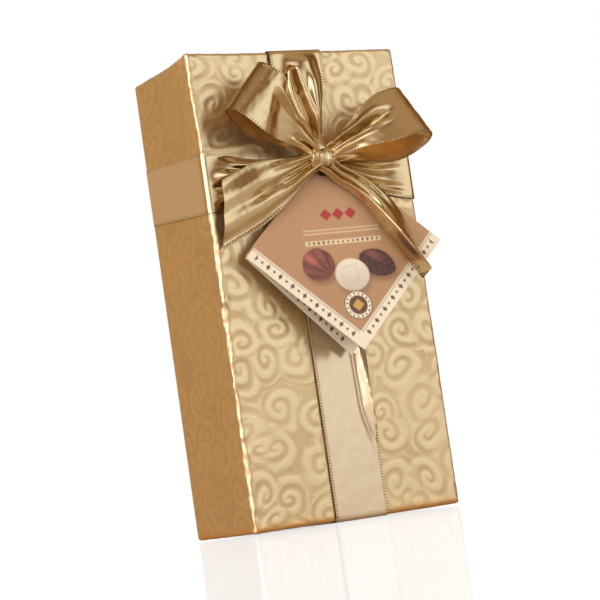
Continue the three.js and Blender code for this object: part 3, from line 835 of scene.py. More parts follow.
def arm_points(heading, to_edge, pleats, seed, drop=0.0, rise=0.0, bulge=None, tallest=3.1, gather=29.0):
    """The middle of one arm of the tie, and how far along it the ribbon lies flat, where the finish paints it
    in the paler band colour as painted light
    """
    heading = np.array(heading, float)
    across = np.array([1.0, 0, 0]) if heading[0] == 0 else np.array([0, 0, 1.0])
    if np.cross(heading, across)[1] > 0:
        across = -across
    run, y, out, fore, share = arm_path(to_edge).T[..., None]
    # Round the corner the ribbon lies as flat as after a long run
    flat = run + 160 * climb(share, 0, 0.2)
    opened = climb(flat, 6.5, gather)
    width = gathered(opened)
    kept = 1 - 0.93 * climb(flat - to_edge, -15, 14)
    q, height = pleated(width, pleats, seed, tallest, kept)
    lift = 0.5 * fade(flat, 40, 20) + 0.32 + 1.0 * (1 - opened)
    lift = np.where(fore > 0.5, 0.28, lift)
    if heading[2] < 0:
        lift = np.where(out > 0.5, 0.25, lift)
    height += lift
    height += 0.3 * np.abs(q) ** 8 * (out <= 0)
    if bulge is not None:
        height += bulge(flat, q * width / 2 * np.sign(across[0] or 1))
    sunk = rise * share - drop * climb(flat, 0, 34)
    middle = KNOT * (1, 0, 1) + run * heading - y * FORWARDS + sunk * np.array([0, 0, 1.0])
    normal = out * heading - fore * FORWARDS
    return spread_out(middle, width, q, across, height, normal[:, None, :]), climb(flat, 45, 25)


def lower_fold(run, x):
    """The loose fold along the right side of the lower arm, whose crest crosses to the edge as it dies out"""
    left = 7.4 + 0.03 * (run - 76) + 3.6 * climb(run, 104, 22)
    width = np.maximum(12.6 - left, 0.3)
    share = np.clip((x - left) / width, 0, 1)
    lower = climb(run, 80, 28)
    crest = 0.25 + 0.45 * lower
    steep = 1.8 - 0.85 * lower
    here = climb(run, 20, 25) * fade(run, 112, 14)
    foot = 0.5 * bell(x, left - 1.7, 0.9) - 0.2 * bell(x, left - 0.35, 0.45)
    ridge = np.where(share < crest, share / crest, 1 - 0.9 * (share - crest) / (1 - crest))
    return here * (crest * width * steep * ridge + foot)


def upper_fold(run, x):
    """The crest of the upper arm: open towards the left, and falling steeply on the right"""
    tall = 4.2 * climb(run, 4, 9) * fade(run, 43, 6)
    return tall * np.where(x < 2.8, climb(x, -9, 11.8), fade(x, 2.8, 8.0))


def left_fold(run, down):
    """Two folds that fan out from the knot, each steep on its lower side"""
    here = climb(run, 5, 12) * fade(run, 40, 9.5)
    first = np.where(down < -2.5, climb(down, -11, 8.5), fade(down, -2.5, 5.0))
    second = np.where(down < 5.5, climb(down, 2, 3.5), fade(down, 5.5, 4.5))
    return here * (2.6 * first + 1.8 * second)


class CHOCBOX_OT_ribbon_arms(bpy.types.Operator):
    """The four arms of the ribbon, gathered at the knot and turned in over the lid's rim"""

    bl_idname = "chocbox.ribbon_arms"
    bl_label = "Ribbon arms"

    def execute(self, context):
        arms = (
            ("ribbon_up", (0, 0, 1), TOP - KNOT[2], 2, 31,
             {"tallest": 2.4, "gather": 36.0, "bulge": upper_fold}),
            ("ribbon_down", (0, 0, -1), KNOT[2] - FOOT, 4, 32, {"bulge": lower_fold}),
            ("ribbon_left", (-1, 0, 0), HALF_WIDTH + KNOT[0], 4, 33,
             {"drop": BAND_DROP, "rise": LEFT_BAND_RISE, "gather": 46.0, "tallest": 1.6, "bulge": left_fold}),
            ("ribbon_right", (1, 0, 0), HALF_WIDTH - KNOT[0], 4, 34,
             {"drop": BAND_DROP, "gather": 44.0}),
        )
        for name, heading, to_edge, pleats, seed, details in arms:
            points, satin = arm_points(heading, to_edge, pleats, seed, **details)
            piece = ribbon_piece(name + "_cloth", points, seed, 0.02, satin=satin)
            attach(piece, "lid", "ribbon", name)
        return {"FINISHED"}


# ---------------------------------------------------------------- bow


LOOP_ROWS, LOOP_COLUMNS = 150, 73


def loop_points(out, opens, depth, pleats, seed, shape):
    """The middle of a bow loop: out from the knot in front, round the far end and back behind"""
    out = unit(np.array(out))
    opens = np.array(opens, float)
    opens = unit(opens - out * (opens @ out))
    across = np.cross(out, opens)
    length = LOOP_LENGTH
    first = math.asin(3.6 / length) / math.pi
    s = np.linspace(first, 1 - first, LOOP_ROWS)[:, None]
    reach = length * np.sin(math.pi * s)
    bulge = depth * np.sin(2 * math.pi * s)
    face = unit(math.pi * length * np.cos(math.pi * s) * opens
                - 2 * math.pi * depth * np.cos(2 * math.pi * s) * out)
    width = gathered(climb(reach, 5.5, 0.62 * length))
    kept = fade(reach / length, 0.12, 0.3)
    q, height = pleated(width, pleats, seed, 2.6, kept, LOOP_COLUMNS)
    height += shape(q, reach / length, fade(s, 0.44, 0.12))
    middle = KNOT + reach * out + bulge * opens
    return spread_out(middle, width, q, across, height, face[:, None, :])


def left_loop_shape(q, reach, front):
    """A broad panel with a dent that slants across it, and a side that rolls back beside the narrow loop"""
    here = front * climb(reach, 0, 0.3)
    along = reach - (0.57 + 0.13 * (q + 1))
    dent = -3.4 * fade(along, -0.10, 0.19) * climb(along, -0.45, 0.34) * fade(q, 0.2, 0.4)
    near = -1.6 * bell(q, -0.45, 0.12) * fade(reach, 0.2, 0.2)
    rolled = -4.6 * climb(q, 0.3, 0.7) * fade(reach, 0.55, 0.3)
    return here * (dent + near + rolled)


def right_loop_shape(q, reach, front):
    """Two long crests with a hollow between them, which run out of the knot on the outer face"""
    here = front * climb(reach, 0, 0.3) * fade(reach, 0.5, 0.32)
    folds = 2.3 * bell(q, -0.48, 0.15) - 2.8 * bell(q, -0.16, 0.14) + 1.3 * bell(q, 0.12, 0.13)
    return here * folds - 0.6 * (1 - front) * (1 - q ** 2)


def upright_loop_points():
    """The narrow loop that stands before the upper arm: a pointed hollow between two rolled rims"""
    share = np.linspace(0, 1, 120)[:, None]
    q = np.linspace(-1.65, 1.65, 67)
    side = np.abs(q)
    pointed = np.sqrt(np.maximum(1 - (np.maximum(share - 0.58, 0) / 0.42) ** 2, 0.004))
    half = (1.1 + 2.7 * climb(share, 0, 0.45)) * pointed
    deep = 5.2 * climb(share, 0, 0.25) * pointed ** 0.8
    hollow = deep * np.exp(-(side / 0.56) ** 3)
    flank = (1.0 + 3.6 * climb(share, 0, 0.3)) * pointed ** 0.5 * climb(side, 1.1, 0.55) ** 1.2
    crest = -43.0 - 7.0 * climb(share, 0, 0.36) + 3.0 * climb(share, 0.9, 0.1) ** 2
    x = -0.8 - 24.0 * share + 12.0 * share ** 2 + 0.97 * half * q
    z = 155.0 + 35.4 * share + 0.24 * half * q
    return np.stack([x, crest + hollow + flank, z], -1)


def knot_mesh():
    """The knot's wrap: a small pleated band round the gathered ribbon, and the neck behind it"""
    around, along = 72, 41
    x = np.linspace(-1, 1, along)[:, None]
    turn = np.linspace(0, 2 * math.pi, around, endpoint=False)
    ridge = 0.32 * np.cos(2 * math.pi * (x * 2.1 + 0.15)) + 0.16 * np.cos(2 * math.pi * (x * 4.6 + 0.4))
    waist = 1 - 0.16 * (1 - x ** 2) - 0.34 * np.abs(x) ** 7
    swell = waist * (1 + 0.05 * np.cos(3 * turn + 2 * x)) + 0.11 * ridge
    shift = -0.8 / KNOT_HALF[0] + 0.22 / KNOT_HALF[0] * np.sin(turn + 0.6)
    wrap = KNOT + KNOT_HALF * np.stack([x + shift, swell * np.cos(turn), swell * np.sin(turn)], -1)
    faces = ring_faces(along, around)
    count = along * around
    for centre, start, step in ((count, 0, -1), (count + 1, count - around, 1)):
        ring = [start + j for j in range(around)]
        faces += [(centre, *pair[::step]) for pair in zip(ring, ring[1:] + ring[:1])]
    y = np.linspace(FRONT - 0.4, KNOT[1] + 2.0, 14)[:, None]
    angle = turn[::3]
    radius = NECK_RADIUS + 0.2 * np.cos(5 * angle) + 0 * y
    neck = np.stack([NECK_X + radius * np.cos(angle), y + 0 * angle, NECK_Z + radius * np.sin(angle)], -1)
    points = np.concatenate([wrap.reshape(-1, 3), wrap[[0, -1]].mean(1), neck.reshape(-1, 3)])
    start = count + 2
    faces += ring_faces(len(y), len(angle), start)
    near_end, far_end = range(start, start + len(angle)), range(len(points) - len(angle), len(points))
    faces += [tuple(reversed(near_end)), tuple(far_end)]
    uv = np.zeros((len(points), 2))
    uv[:count, 0] = np.repeat(4.0 * np.arange(along), around)
    uv[:count, 1] = np.tile(3.0 * np.sin(turn), along)
    return points, faces, uv


def leaf_direction(opened):
    """From the fold across a leaf of the tag that is opened by that angle"""
    return LEAF_ACROSS * math.cos(opened) + FORWARDS * math.sin(opened)


def left_tail_points():
    """The left tail: spreads flat from the knot, cut upright at its end"""
    slope = math.radians(24)
    along = np.array([-math.cos(slope), 0, -math.sin(slope)])
    across = np.array([-math.sin(slope), 0, math.cos(slope)])
    share = np.linspace(0, 1, 70)[:, None]
    opened = climb(share, 0, 0.7)
    width = gathered(opened)
    q, height = pleated(width, 3, 43, 2.8, fade(share, 0.15, 0.4))
    turned = -2.6 * climb(-q, 0.12, 0.7) + 0.7 * climb(-q, 0.82, 0.18)
    dents = -2.4 * bell(q, -0.05, 0.14) * fade(share, 0.45, 0.35)
    dents -= 1.5 * bell(q, 0.45, 0.12) * fade(share, 0.25, 0.35)
    waves = 0.75 * np.cos(2 * math.pi * (q - 0.42) / 0.95) * (1 - 0.35 * share) * climb(share, 0, 0.3)
    height += (turned + dents + waves) * opened + 1.2
    run = 4.0 + LEFT_TAIL_LENGTH * share
    y = KNOT[1] + 1.2 * climb(share, 0, 0.5) + 3.5 * climb(share, 0.45, 0.55)
    middle = np.array([KNOT[0], 0, KNOT[2] + 0.8]) + run * along - y * FORWARDS
    slant = -7.0 * opened * share * q
    return spread_out(middle, width, q, across, height, FORWARDS) + slant[..., None] * along


def right_tail_points():
    """The right tail: folded lengthwise and laid in an arc along the upper edge of the tag's cover,
    narrow at its end. Gives its root and its direction too."""
    lifted = leaf_direction(TAG_OPEN)
    splay = math.radians(3)
    along = lifted * math.cos(splay) + FOLD_DOWN * math.sin(splay)
    face = -np.cross(lifted, FOLD_DOWN)
    root = FOLD_TOP + FOLD_DOWN * 8.5
    root[1] = FOLD_TOP[1] - 1.3
    root = root + face * 0.95
    share = np.linspace(0, 1, 84)[:, None]
    run = 3.0 + RIGHT_TAIL_LENGTH * share
    sway = -5.5 * np.sin(math.pi * share / 0.76)
    path = root + run * along + sway * FOLD_DOWN
    across = np.cross(unit(np.gradient(path, axis=0)), face)
    opened = climb(share, 0.08, 0.62)
    drawn_in = 0.42 * climb(share, 0.5, 0.5)
    width = (GATHER_WIDTH + 5.0 * opened) * (1 - drawn_in)
    q = np.linspace(-1, 1, RIBBON_COLUMNS)
    crest = 0.62
    ridge = np.maximum(1 - (np.abs(q - crest) / np.where(q > crest, 1 - crest, 1 + crest)) ** 1.25, 0)
    height = (opened * 6.7 * (1 + drawn_in) + 0.35 * np.sin(9 * share)) * ridge + 0.35
    height += (1 - opened) * 3.3 * uneven_pleats(3, 44, RIBBON_COLUMNS)
    toward = (KNOT - root - along * 3.0) * fade(share, 0, 0.16) * 0.55
    slant = 3.0 * opened * share * q
    points = spread_out(path + toward, width, q, across[:, None, :], height, face)
    return points + slant[..., None] * along, root, along


class CHOCBOX_OT_bow(bpy.types.Operator):
    """The bow: its knot, two loops with the narrow one between them, and two tails"""

    bl_idname = "chocbox.bow"
    bl_label = "Bow"

    def execute(self, context):
        finish = finish_named("gold_ribbon", gold_ribbon)
        points, faces, uv = knot_mesh()
        knot = make_piece("knot_wrap", points, faces, finish, uv=uv)
        attach(knot, "lid", "ribbon", "bow_knot")
        loops = (
            ("bow_loop_left", "bow_loop_left", 41, True, loop_points(
                (-0.735, -0.1, 0.665), (0, -1, -0.1), 8.0, 3, 41, left_loop_shape)),
            ("bow_loop_right", "bow_loop_right", 42, True, loop_points(
                (0.927, -0.19, 0.32), (0, -0.88, 0.48), 8.5, 3, 42, right_loop_shape)),
            ("bow_loop_upright", "bow_loop_left", 45, False, upright_loop_points()),
        )
        for name, node, seed, hollow, points in loops:
            piece = ribbon_piece(name + "_cloth", points, seed, 0.055, hollow)
            attach(piece, "lid", "ribbon", node)
        piece = ribbon_piece("bow_tail_left_cloth", left_tail_points(), 43, 0.04)
        attach(piece, "lid", "ribbon", "bow_tail_left")
        points, root, along = right_tail_points()
        piece = ribbon_piece("bow_tail_right_cloth", points, 44, 0.06)
        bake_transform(piece)
        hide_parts("bow_tail_right")
        return {"FINISHED"}


# ---------------------------------------------------------------- tag


def soft_edge(distance, blur):
    """One inside a shape, nought outside it, from a distance that is negative inside"""
    return smoothstep(0.5 - distance / (2 * blur))


def print_colours(u, v, picture):
    """The printed card: a copper ground, cream strips with a small ornament, and a plain picture of pralines.
    u runs down the fold and v across the leaf, both in millimetres."""
    own = sizes()
    ground, cream = np.array(own.tag_colour), np.array(own.cream_colour)
    brown, red = np.array([0.115, 0.05, 0.025]), np.array([0.42, 0.02, 0.02])
    x, down = (v - u) / math.sqrt(2), (u + v) / math.sqrt(2)
    colours = np.tile(ground, (len(u), 1)) * (1.06 - 0.12 * climb(down, 12, 65))[:, None]

    def paint(distance, blur, ink, weight=1.0):
        """Prints over the inside of a shape"""
        nonlocal colours
        mask = (weight * soft_edge(distance, blur))[:, None]
        colours = colours * (1 - mask) + np.clip(ink, 0, 1) * mask

    # Cream strips on two sides, with a row of diamonds and dots
    strip = TAG_SIDE - 5.6
    for run, side in ((v, u), (u, v)):
        paint(strip - side, 0.12, cream)
        middle = side - (strip + 2.9)
        step = (run + 1.6) % 3.2 - 1.6
        index = np.floor((run + 1.6) / 3.2) % 2
        diamond = np.abs(step) / 0.95 + np.abs(middle) / 1.35 - 1
        dot = np.hypot(step, middle) - 0.55
        shape = np.where(index > 0, diamond, dot)
        inside = (run < strip - 1.5) & (run > 3.0) & (side > strip)
        paint(shape, 0.18, brown, inside)
        paint(np.abs(side - strip - 0.75) - 0.13, 0.12, brown, 0.6 * (run < strip))
    if not picture:
        return colours
    # Two rules, a dotted strip and three lozenges
    paint(np.maximum(np.abs(np.abs(down - 35.6) - 0.75) - 0.16, np.abs(x) - 17.0), 0.12, cream, 0.85)
    paint(np.maximum(np.abs(down - 40.4) - 1.0, np.abs(x) - 17.0), 0.15, cream * (0.9, 0.8, 0.66))
    dash = (x + 1.1) % 2.2 - 1.1
    paint(np.maximum(np.abs(dash) + np.abs(down - 40.4) - 0.65, np.abs(x) - 16.4), 0.12, brown)
    for place in (-5.6, 0.0, 5.6):
        paint(np.abs(x - place) / 2.7 + np.abs(down - 28.4) / 2.7 - 1, 0.12, red)
    # A ribbed shell on the left
    across, below = x + 12.9, down - 49.6
    paint(np.hypot(across - 0.8, 1.2 * (below - 2.5)) - 7.8, 1.6, brown, 0.5)
    ribs = 0.5 + 0.5 * np.cos(13 * np.arctan2(below - 5.0, across - 5.2))
    light = (0.65 + 0.75 * ribs) * (1 + 1.3 * np.exp(-((across + 2.6) ** 2 + (below + 2.8) ** 2) / 12))
    paint(np.hypot(across, below) - 7.0 - 0.35 * ribs, 0.3, np.array([0.17, 0.045, 0.032]) * light[:, None])
    # A veined leaf on the right
    angle = math.radians(28)
    along = (x - 13.4) * math.cos(angle) + (down - 51.0) * math.sin(angle)
    aside = (down - 51.0) * math.cos(angle) - (x - 13.4) * math.sin(angle)
    paint((np.abs(along - 0.6) / 9.2) ** 1.7 + (np.abs(aside - 1.2) / 6.6) ** 1.8 - 1, 0.3, brown, 0.5)
    light = 1 + 2.6 * np.exp(-(along + 2.5) ** 2 / 14 - (aside + 2.6) ** 2 / 2.5)
    light += 0.35 * np.cos(2.1 * along - 1.5 * np.abs(aside)) - 0.5 * soft_edge(np.abs(aside) - 0.25, 0.35)
    paint((np.abs(along) / 8.4) ** 1.7 + (np.abs(aside) / 5.9) ** 1.8 - 1, 0.06,
          np.array([0.068, 0.017, 0.015]) * light[:, None])
    # A pale round one between them, with a ring pressed into it
    across, below = x - 1.2, down - 55.2
    paint(np.hypot((across - 0.6) / 8.0, (below - 1.4) / 7.6) - 1, 0.25, brown, 0.5)
    pressed = soft_edge(np.abs(np.hypot(across + 0.6, below + 0.4) - 3.6) - 0.3, 0.5)
    paint(np.hypot(across / 7.6, below / 7.0) - 1, 0.05,
          np.array([0.70, 0.62, 0.47]) * (1.06 - 0.03 * below - 0.14 * pressed)[:, None])
    # A round seal with a dotted ring
    across, below = x - 1.2, down - 68.4
    reach, turn = np.hypot(across, below), np.arctan2(below, across) / (2 * math.pi)
    for radius, ink in ((6.2, brown), (5.8, cream), (4.1, brown)):
        paint(reach - radius, 0.12, ink)
    paint(np.hypot(((turn * 16) % 1 - 0.5) * 2.0, reach - 5.0) - 0.42, 0.12, brown)
    paint(np.abs(across) + np.abs(below) - 2.7, 0.15, (0.62, 0.36, 0.08))
    return colours


def tag_leaf(name, opened, forward, hole, hole_radius, picture, lift):
    """One leaf of the tag as a thin card with a round hole, its printed side towards the front"""
    steps = 156
    line = np.linspace(0, TAG_SIDE, steps)
    u, v = np.meshgrid(line, line, indexing="ij")
    away = np.hypot(u - hole[0], v - hole[1])
    on_rim = np.abs(away - hole_radius) < 0.45
    pull = np.where(on_rim, hole_radius / np.maximum(away, 1e-6), 1.0)
    u, v = hole[0] + (u - hole[0]) * pull, hole[1] + (v - hole[1]) * pull
    u, v = np.clip(u, 0, TAG_SIDE), np.clip(v, 0, TAG_SIDE)
    middle_u, middle_v = (u[1:, 1:] + u[:-1, :-1]) / 2, (v[1:, 1:] + v[:-1, :-1]) / 2
    keep = np.hypot(middle_u - hole[0], middle_v - hole[1]) > hole_radius
    lifted = leaf_direction(opened)
    face = np.cross(lifted, FOLD_DOWN)
    bow = lift * np.sin(math.pi * v / TAG_SIDE) * np.sin(math.pi * (u + 6) / (TAG_SIDE + 12))
    root = FOLD_TOP + FORWARDS * (forward + 0.25)
    points = root + u[..., None] * FOLD_DOWN + v[..., None] * lifted + bow[..., None] * face
    turned = grid_normals(points)[steps // 2, steps // 2, 1] > 0
    solid, faces = thick_sheet(points, CARD_THICKNESS, keep)
    colours = print_colours(u.ravel(), v.ravel(), picture)
    plain = np.tile(np.array(sizes().cream_colour) * 0.9, (len(colours), 1))
    ordered = [plain, colours] if turned else [colours, plain]
    used = sorted({corner for quad in faces for corner in quad})
    renumber = np.full(len(solid), -1)
    renumber[used] = np.arange(len(used))
    faces = [tuple(int(renumber[corner]) for corner in quad) for quad in faces]
    finish = finish_named("printed_tag_card", tag_print)
    return make_piece(name, solid[used], faces, finish, sharp=50,
                      colours={"print": np.concatenate(ordered)[used]})


class CHOCBOX_OT_tag(bpy.types.Operator):
    """The folded tag: a rear leaf with its punched hole, the cover in front, and the fold between them"""

    bl_idname = "chocbox.tag"
    bl_label = "Folded tag"

    def execute(self, context):
        punched = (8.0, 4.7)
        to_knot = KNOT - FOLD_TOP
        notch = (to_knot @ FOLD_DOWN - 3.0, to_knot @ LEAF_ACROSS + 1.5)
        leaves = (
            ("tag_back", "tag_back_leaf", "tag", 0.0, 0.0, punched, 2.5, False, 0.0),
            ("tag_front", "tag_front_leaf", "tag_cover", TAG_OPEN, 0.8, notch, 8.6, True, 0.5),
        )
        for name, node, body, opened, forward, hole, radius, picture, lift in leaves:
            piece = tag_leaf(name, opened, forward, hole, radius, picture, lift)
            attach(piece, body, "tag_card", node)
        between_leaves, fold_radius, end_gap = 0.65, 0.52, 0.4
        turn = np.linspace(-math.pi / 2, math.pi / 2, 12)[:, None]
        line = np.linspace(end_gap, TAG_SIDE - end_gap, 80)[:, None, None]
        out = -LEAF_ACROSS * np.cos(turn) - FORWARDS * np.sin(turn)
        points = FOLD_TOP + FORWARDS * between_leaves + FOLD_DOWN * line + fold_radius * out
        solid, faces = thick_sheet(points, 0.2)
        ink = np.tile(np.array(sizes().tag_colour) * 1.1, (len(solid), 1))
        fold = make_piece("tag_fold", solid, faces, bpy.data.materials["printed_tag_card"],
                          sharp=50, colours={"print": ink})
        attach(fold, "tag", "tag_card")
        return {"FINISHED"}


# ---------------------------------------------------------------- inside of the box


ROWS, COLUMNS = 5, 3
CARD_FRONT = float(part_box("layer_card")[0][1]) / MM
TRAY_LOW, TRAY_HIGH = (np.array(corner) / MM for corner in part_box("upper_tray"))
PITCH_X = (TRAY_HIGH[0] - TRAY_LOW[0]) / COLUMNS
PITCH_Z = (TRAY_HIGH[2] - TRAY_LOW[2]) / ROWS
PRALINE_HALF_WIDTH, PRALINE_HALF_LENGTH, PRALINE_HEIGHT = 10.1, 13.6, 18.0
SHELL_LEAN = 1.6


def cup_places():
    """Middle, row and column of each cup in a tray"""
    for row in range(ROWS):
        for column in range(COLUMNS):
            yield ((column - (COLUMNS - 1) / 2) * PITCH_X,
                   (TRAY_LOW[2] + TRAY_HIGH[2]) / 2 + ((ROWS - 1) / 2 - row) * PITCH_Z, row, column)


class CHOCBOX_OT_tray(bpy.types.Operator):
    """The upper formed tray, with smooth cups and a rolled land between them"""

    bl_idname = "chocbox.tray"
    bl_label = "Formed tray"

    def execute(self, context):
        gx, gz = inset_grid(TRAY_LOW, TRAY_HIGH, 0.2, 96, 202)
        deep = np.zeros_like(gx)
        for cx, cz, _, _ in cup_places():
            reach = np.hypot((gx - cx) / (PITCH_X / 2 - 1.15), (gz - cz) / (PITCH_Z / 2 - 1.15))
            angle = np.arctan2(gx - cx, gz - cz)
            flute = 0.012 * np.cos(16 * angle)
            deep = np.maximum(deep, fade(reach + flute, 0.83, 0.17))
        mouth, bottom = TRAY_LOW[1], TRAY_HIGH[1]
        y = mouth + 0.35 + (bottom - mouth - 0.65) * deep
        solid, faces = thick_sheet(np.stack([gx, y, gz], -1), 0.4)
        finish = finish_named("gold_tray_film", tray_film)
        piece = make_piece("upper_tray_film", solid, faces, finish, sharp=60)
        attach(piece, "base", "tray_film", "upper_tray")
        return {"FINISHED"}


def praline_mesh(kind):
    """One moulded praline with its foot on the origin and its top towards the front"""
    around, rings = 96, 30
    angle = np.linspace(0, 2 * math.pi, around, endpoint=False)
    t = np.linspace(0, 1, rings)[:, None]
    size = np.maximum((1 - t ** 2.6) ** 0.5, 0.02) * (1 - 0.03 * (1 - t) ** 8)
    arch, ribs = np.sin(math.pi * t), np.abs(np.cos(4.5 * angle))
    veins = np.abs(np.sin(5.5 * np.cos(angle) * size * 1.3 + 1.2 * np.abs(np.sin(angle))))
    # Outline from above, and relief on the top, of each kind
    outline, relief = {
        "shell": (0.9 + 0.1 * ribs - 0.12 * np.maximum(0, np.cos(angle)), 0.05 * ribs * arch ** 0.6),
        "dome": (0.94 + 0.05 * np.cos(8 * angle), 0.055 * np.cos(8 * angle + 5.0 * t)
                 * np.sin(math.pi * np.minimum(t * 1.15, 1)) ** 0.7),
        "leaf": (0.7 + 0.3 * np.cos(angle) ** 2,
                 0.035 * veins * arch - 0.06 * bell(np.sin(angle), 0, 0.10) * t),
    }[kind]
    reach = (size + relief) * outline
    rise = PRALINE_HEIGHT * t ** 0.9 * 0.985 + 0 * reach
    lean = SHELL_LEAN if kind == "shell" else 0.0
    sides = np.stack([PRALINE_HALF_WIDTH * reach * np.sin(angle), -rise,
                      PRALINE_HALF_LENGTH * reach * np.cos(angle) - lean * t], -1)
    points = np.concatenate([[(0, 0, 0)], sides.reshape(-1, 3), [(0, -PRALINE_HEIGHT * 0.99, -lean)]])
    last = 1 + (rings - 1) * around
    faces = [(a, d, c, b) for a, b, c, d in ring_faces(rings, around, 1)]
    for j in range(around):
        k = (j + 1) % around
        faces += [(0, 1 + j, 1 + k), (last + j, len(points) - 1, last + k)]
    return points, faces


class CHOCBOX_OT_pralines(bpy.types.Operator):
    """Three kinds of moulded pralines, laid out in the cups of both trays"""

    bl_idname = "chocbox.pralines"
    bl_label = "Pralines"

    def execute(self, context):
        kinds = (
            ("shell", "milk_chocolate", (0.205, 0.082, 0.034), 0.03),
            ("dome", "white_chocolate", (0.80, 0.63, 0.36), 0.10),
            ("leaf", "dark_chocolate", (0.062, 0.024, 0.013), 0.02),
        )
        recipe = layout_recipe()
        feet = (CARD_FRONT - 0.9, float(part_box("lower_tray")[1][1]) / MM - 0.9)
        for order, (kind, slot, colour, bloom) in enumerate(kinds):
            finish = chocolate(slot, colour, bloom)
            mould = make_piece(kind + "_mould", *praline_mesh(kind), finish)
            for layer, foot in zip(("upper", "lower"), feet):
                places = [(x, foot, z) for x, z, row, column in cup_places()
                          if (row + column) % 3 == order]
                piece = make_piece(f"{kind}_pralines_{layer}", places, [], finish)
                recipe.make(piece, Piece=mould, Turn=0.05, Seed=order, Finish=finish)
                nodes = [f"{kind}_praline_{layer}_{i + 1}" for i in range(len(places))]
                attach(piece, "base", slot, *nodes)
            bpy.data.objects.remove(mould)
        return {"FINISHED"}


class CHOCBOX_OT_pad(bpy.types.Operator):
    """The quilted cushion pad inside the lid"""

    bl_idname = "chocbox.pad"
    bl_label = "Cushion pad"

    def execute(self, context):
        low, high = (np.array(corner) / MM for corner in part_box("lid_pad"))
        gx, gz = inset_grid(low, high, 0.3, 110, 236)
        a, b = (gx + gz) / 13.0, (gx - gz) / 13.0
        quilt = np.abs(np.sin(math.pi * a) * np.sin(math.pi * b)) ** 0.4
        edge = np.minimum(np.minimum(gx - low[0], high[0] - gx), np.minimum(gz - low[2], high[2] - gz))
        rim = climb(edge, 0, 4.0)
        deep = (high[1] - low[1] - 0.4) * (0.30 + 0.22 * rim + 0.45 * rim * quilt)
        back = np.stack([gx, np.full_like(gx, low[1] + 0.1), gz], -1)
        face = np.stack([gx, low[1] + 0.1 + deep, gz], -1)
        points, faces = closed_sheet(back, face)
        piece = make_piece("quilted_pad", points, faces, pad_paper(), sharp=60)
        attach(piece, "lid", "pad_paper", "lid_pad")
        return {"FINISHED"}


class CHOCBOX_OT_boards(bpy.types.Operator):
    """Finishes of the pieces whose shapes stay as they are: boards, base paper, divider and lower tray"""

    bl_idname = "chocbox.boards"
    bl_label = "Boards and cards"

    def execute(self, context):
        grey = board("greyboard", (0.43, 0.38, 0.30))
        finishes = {
            "lid_board": grey,
            "base_board": grey,
            "base_paper": board("base_gold_paper", (0.72, 0.52, 0.26), 1600.0, (0.35, 0.5), 0.85),
            "layer_card": board("divider_card", (0.72, 0.63, 0.48), 900.0, (0.6, 0.8)),
            "lower_tray": finish_named("gold_tray_film", tray_film),
        }
        for name, finish in finishes.items():
            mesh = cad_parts[name].data
            mesh.materials.clear()
            mesh.materials.append(finish)
        return {"FINISHED"}


# ---------------------------------------------------------------- stage


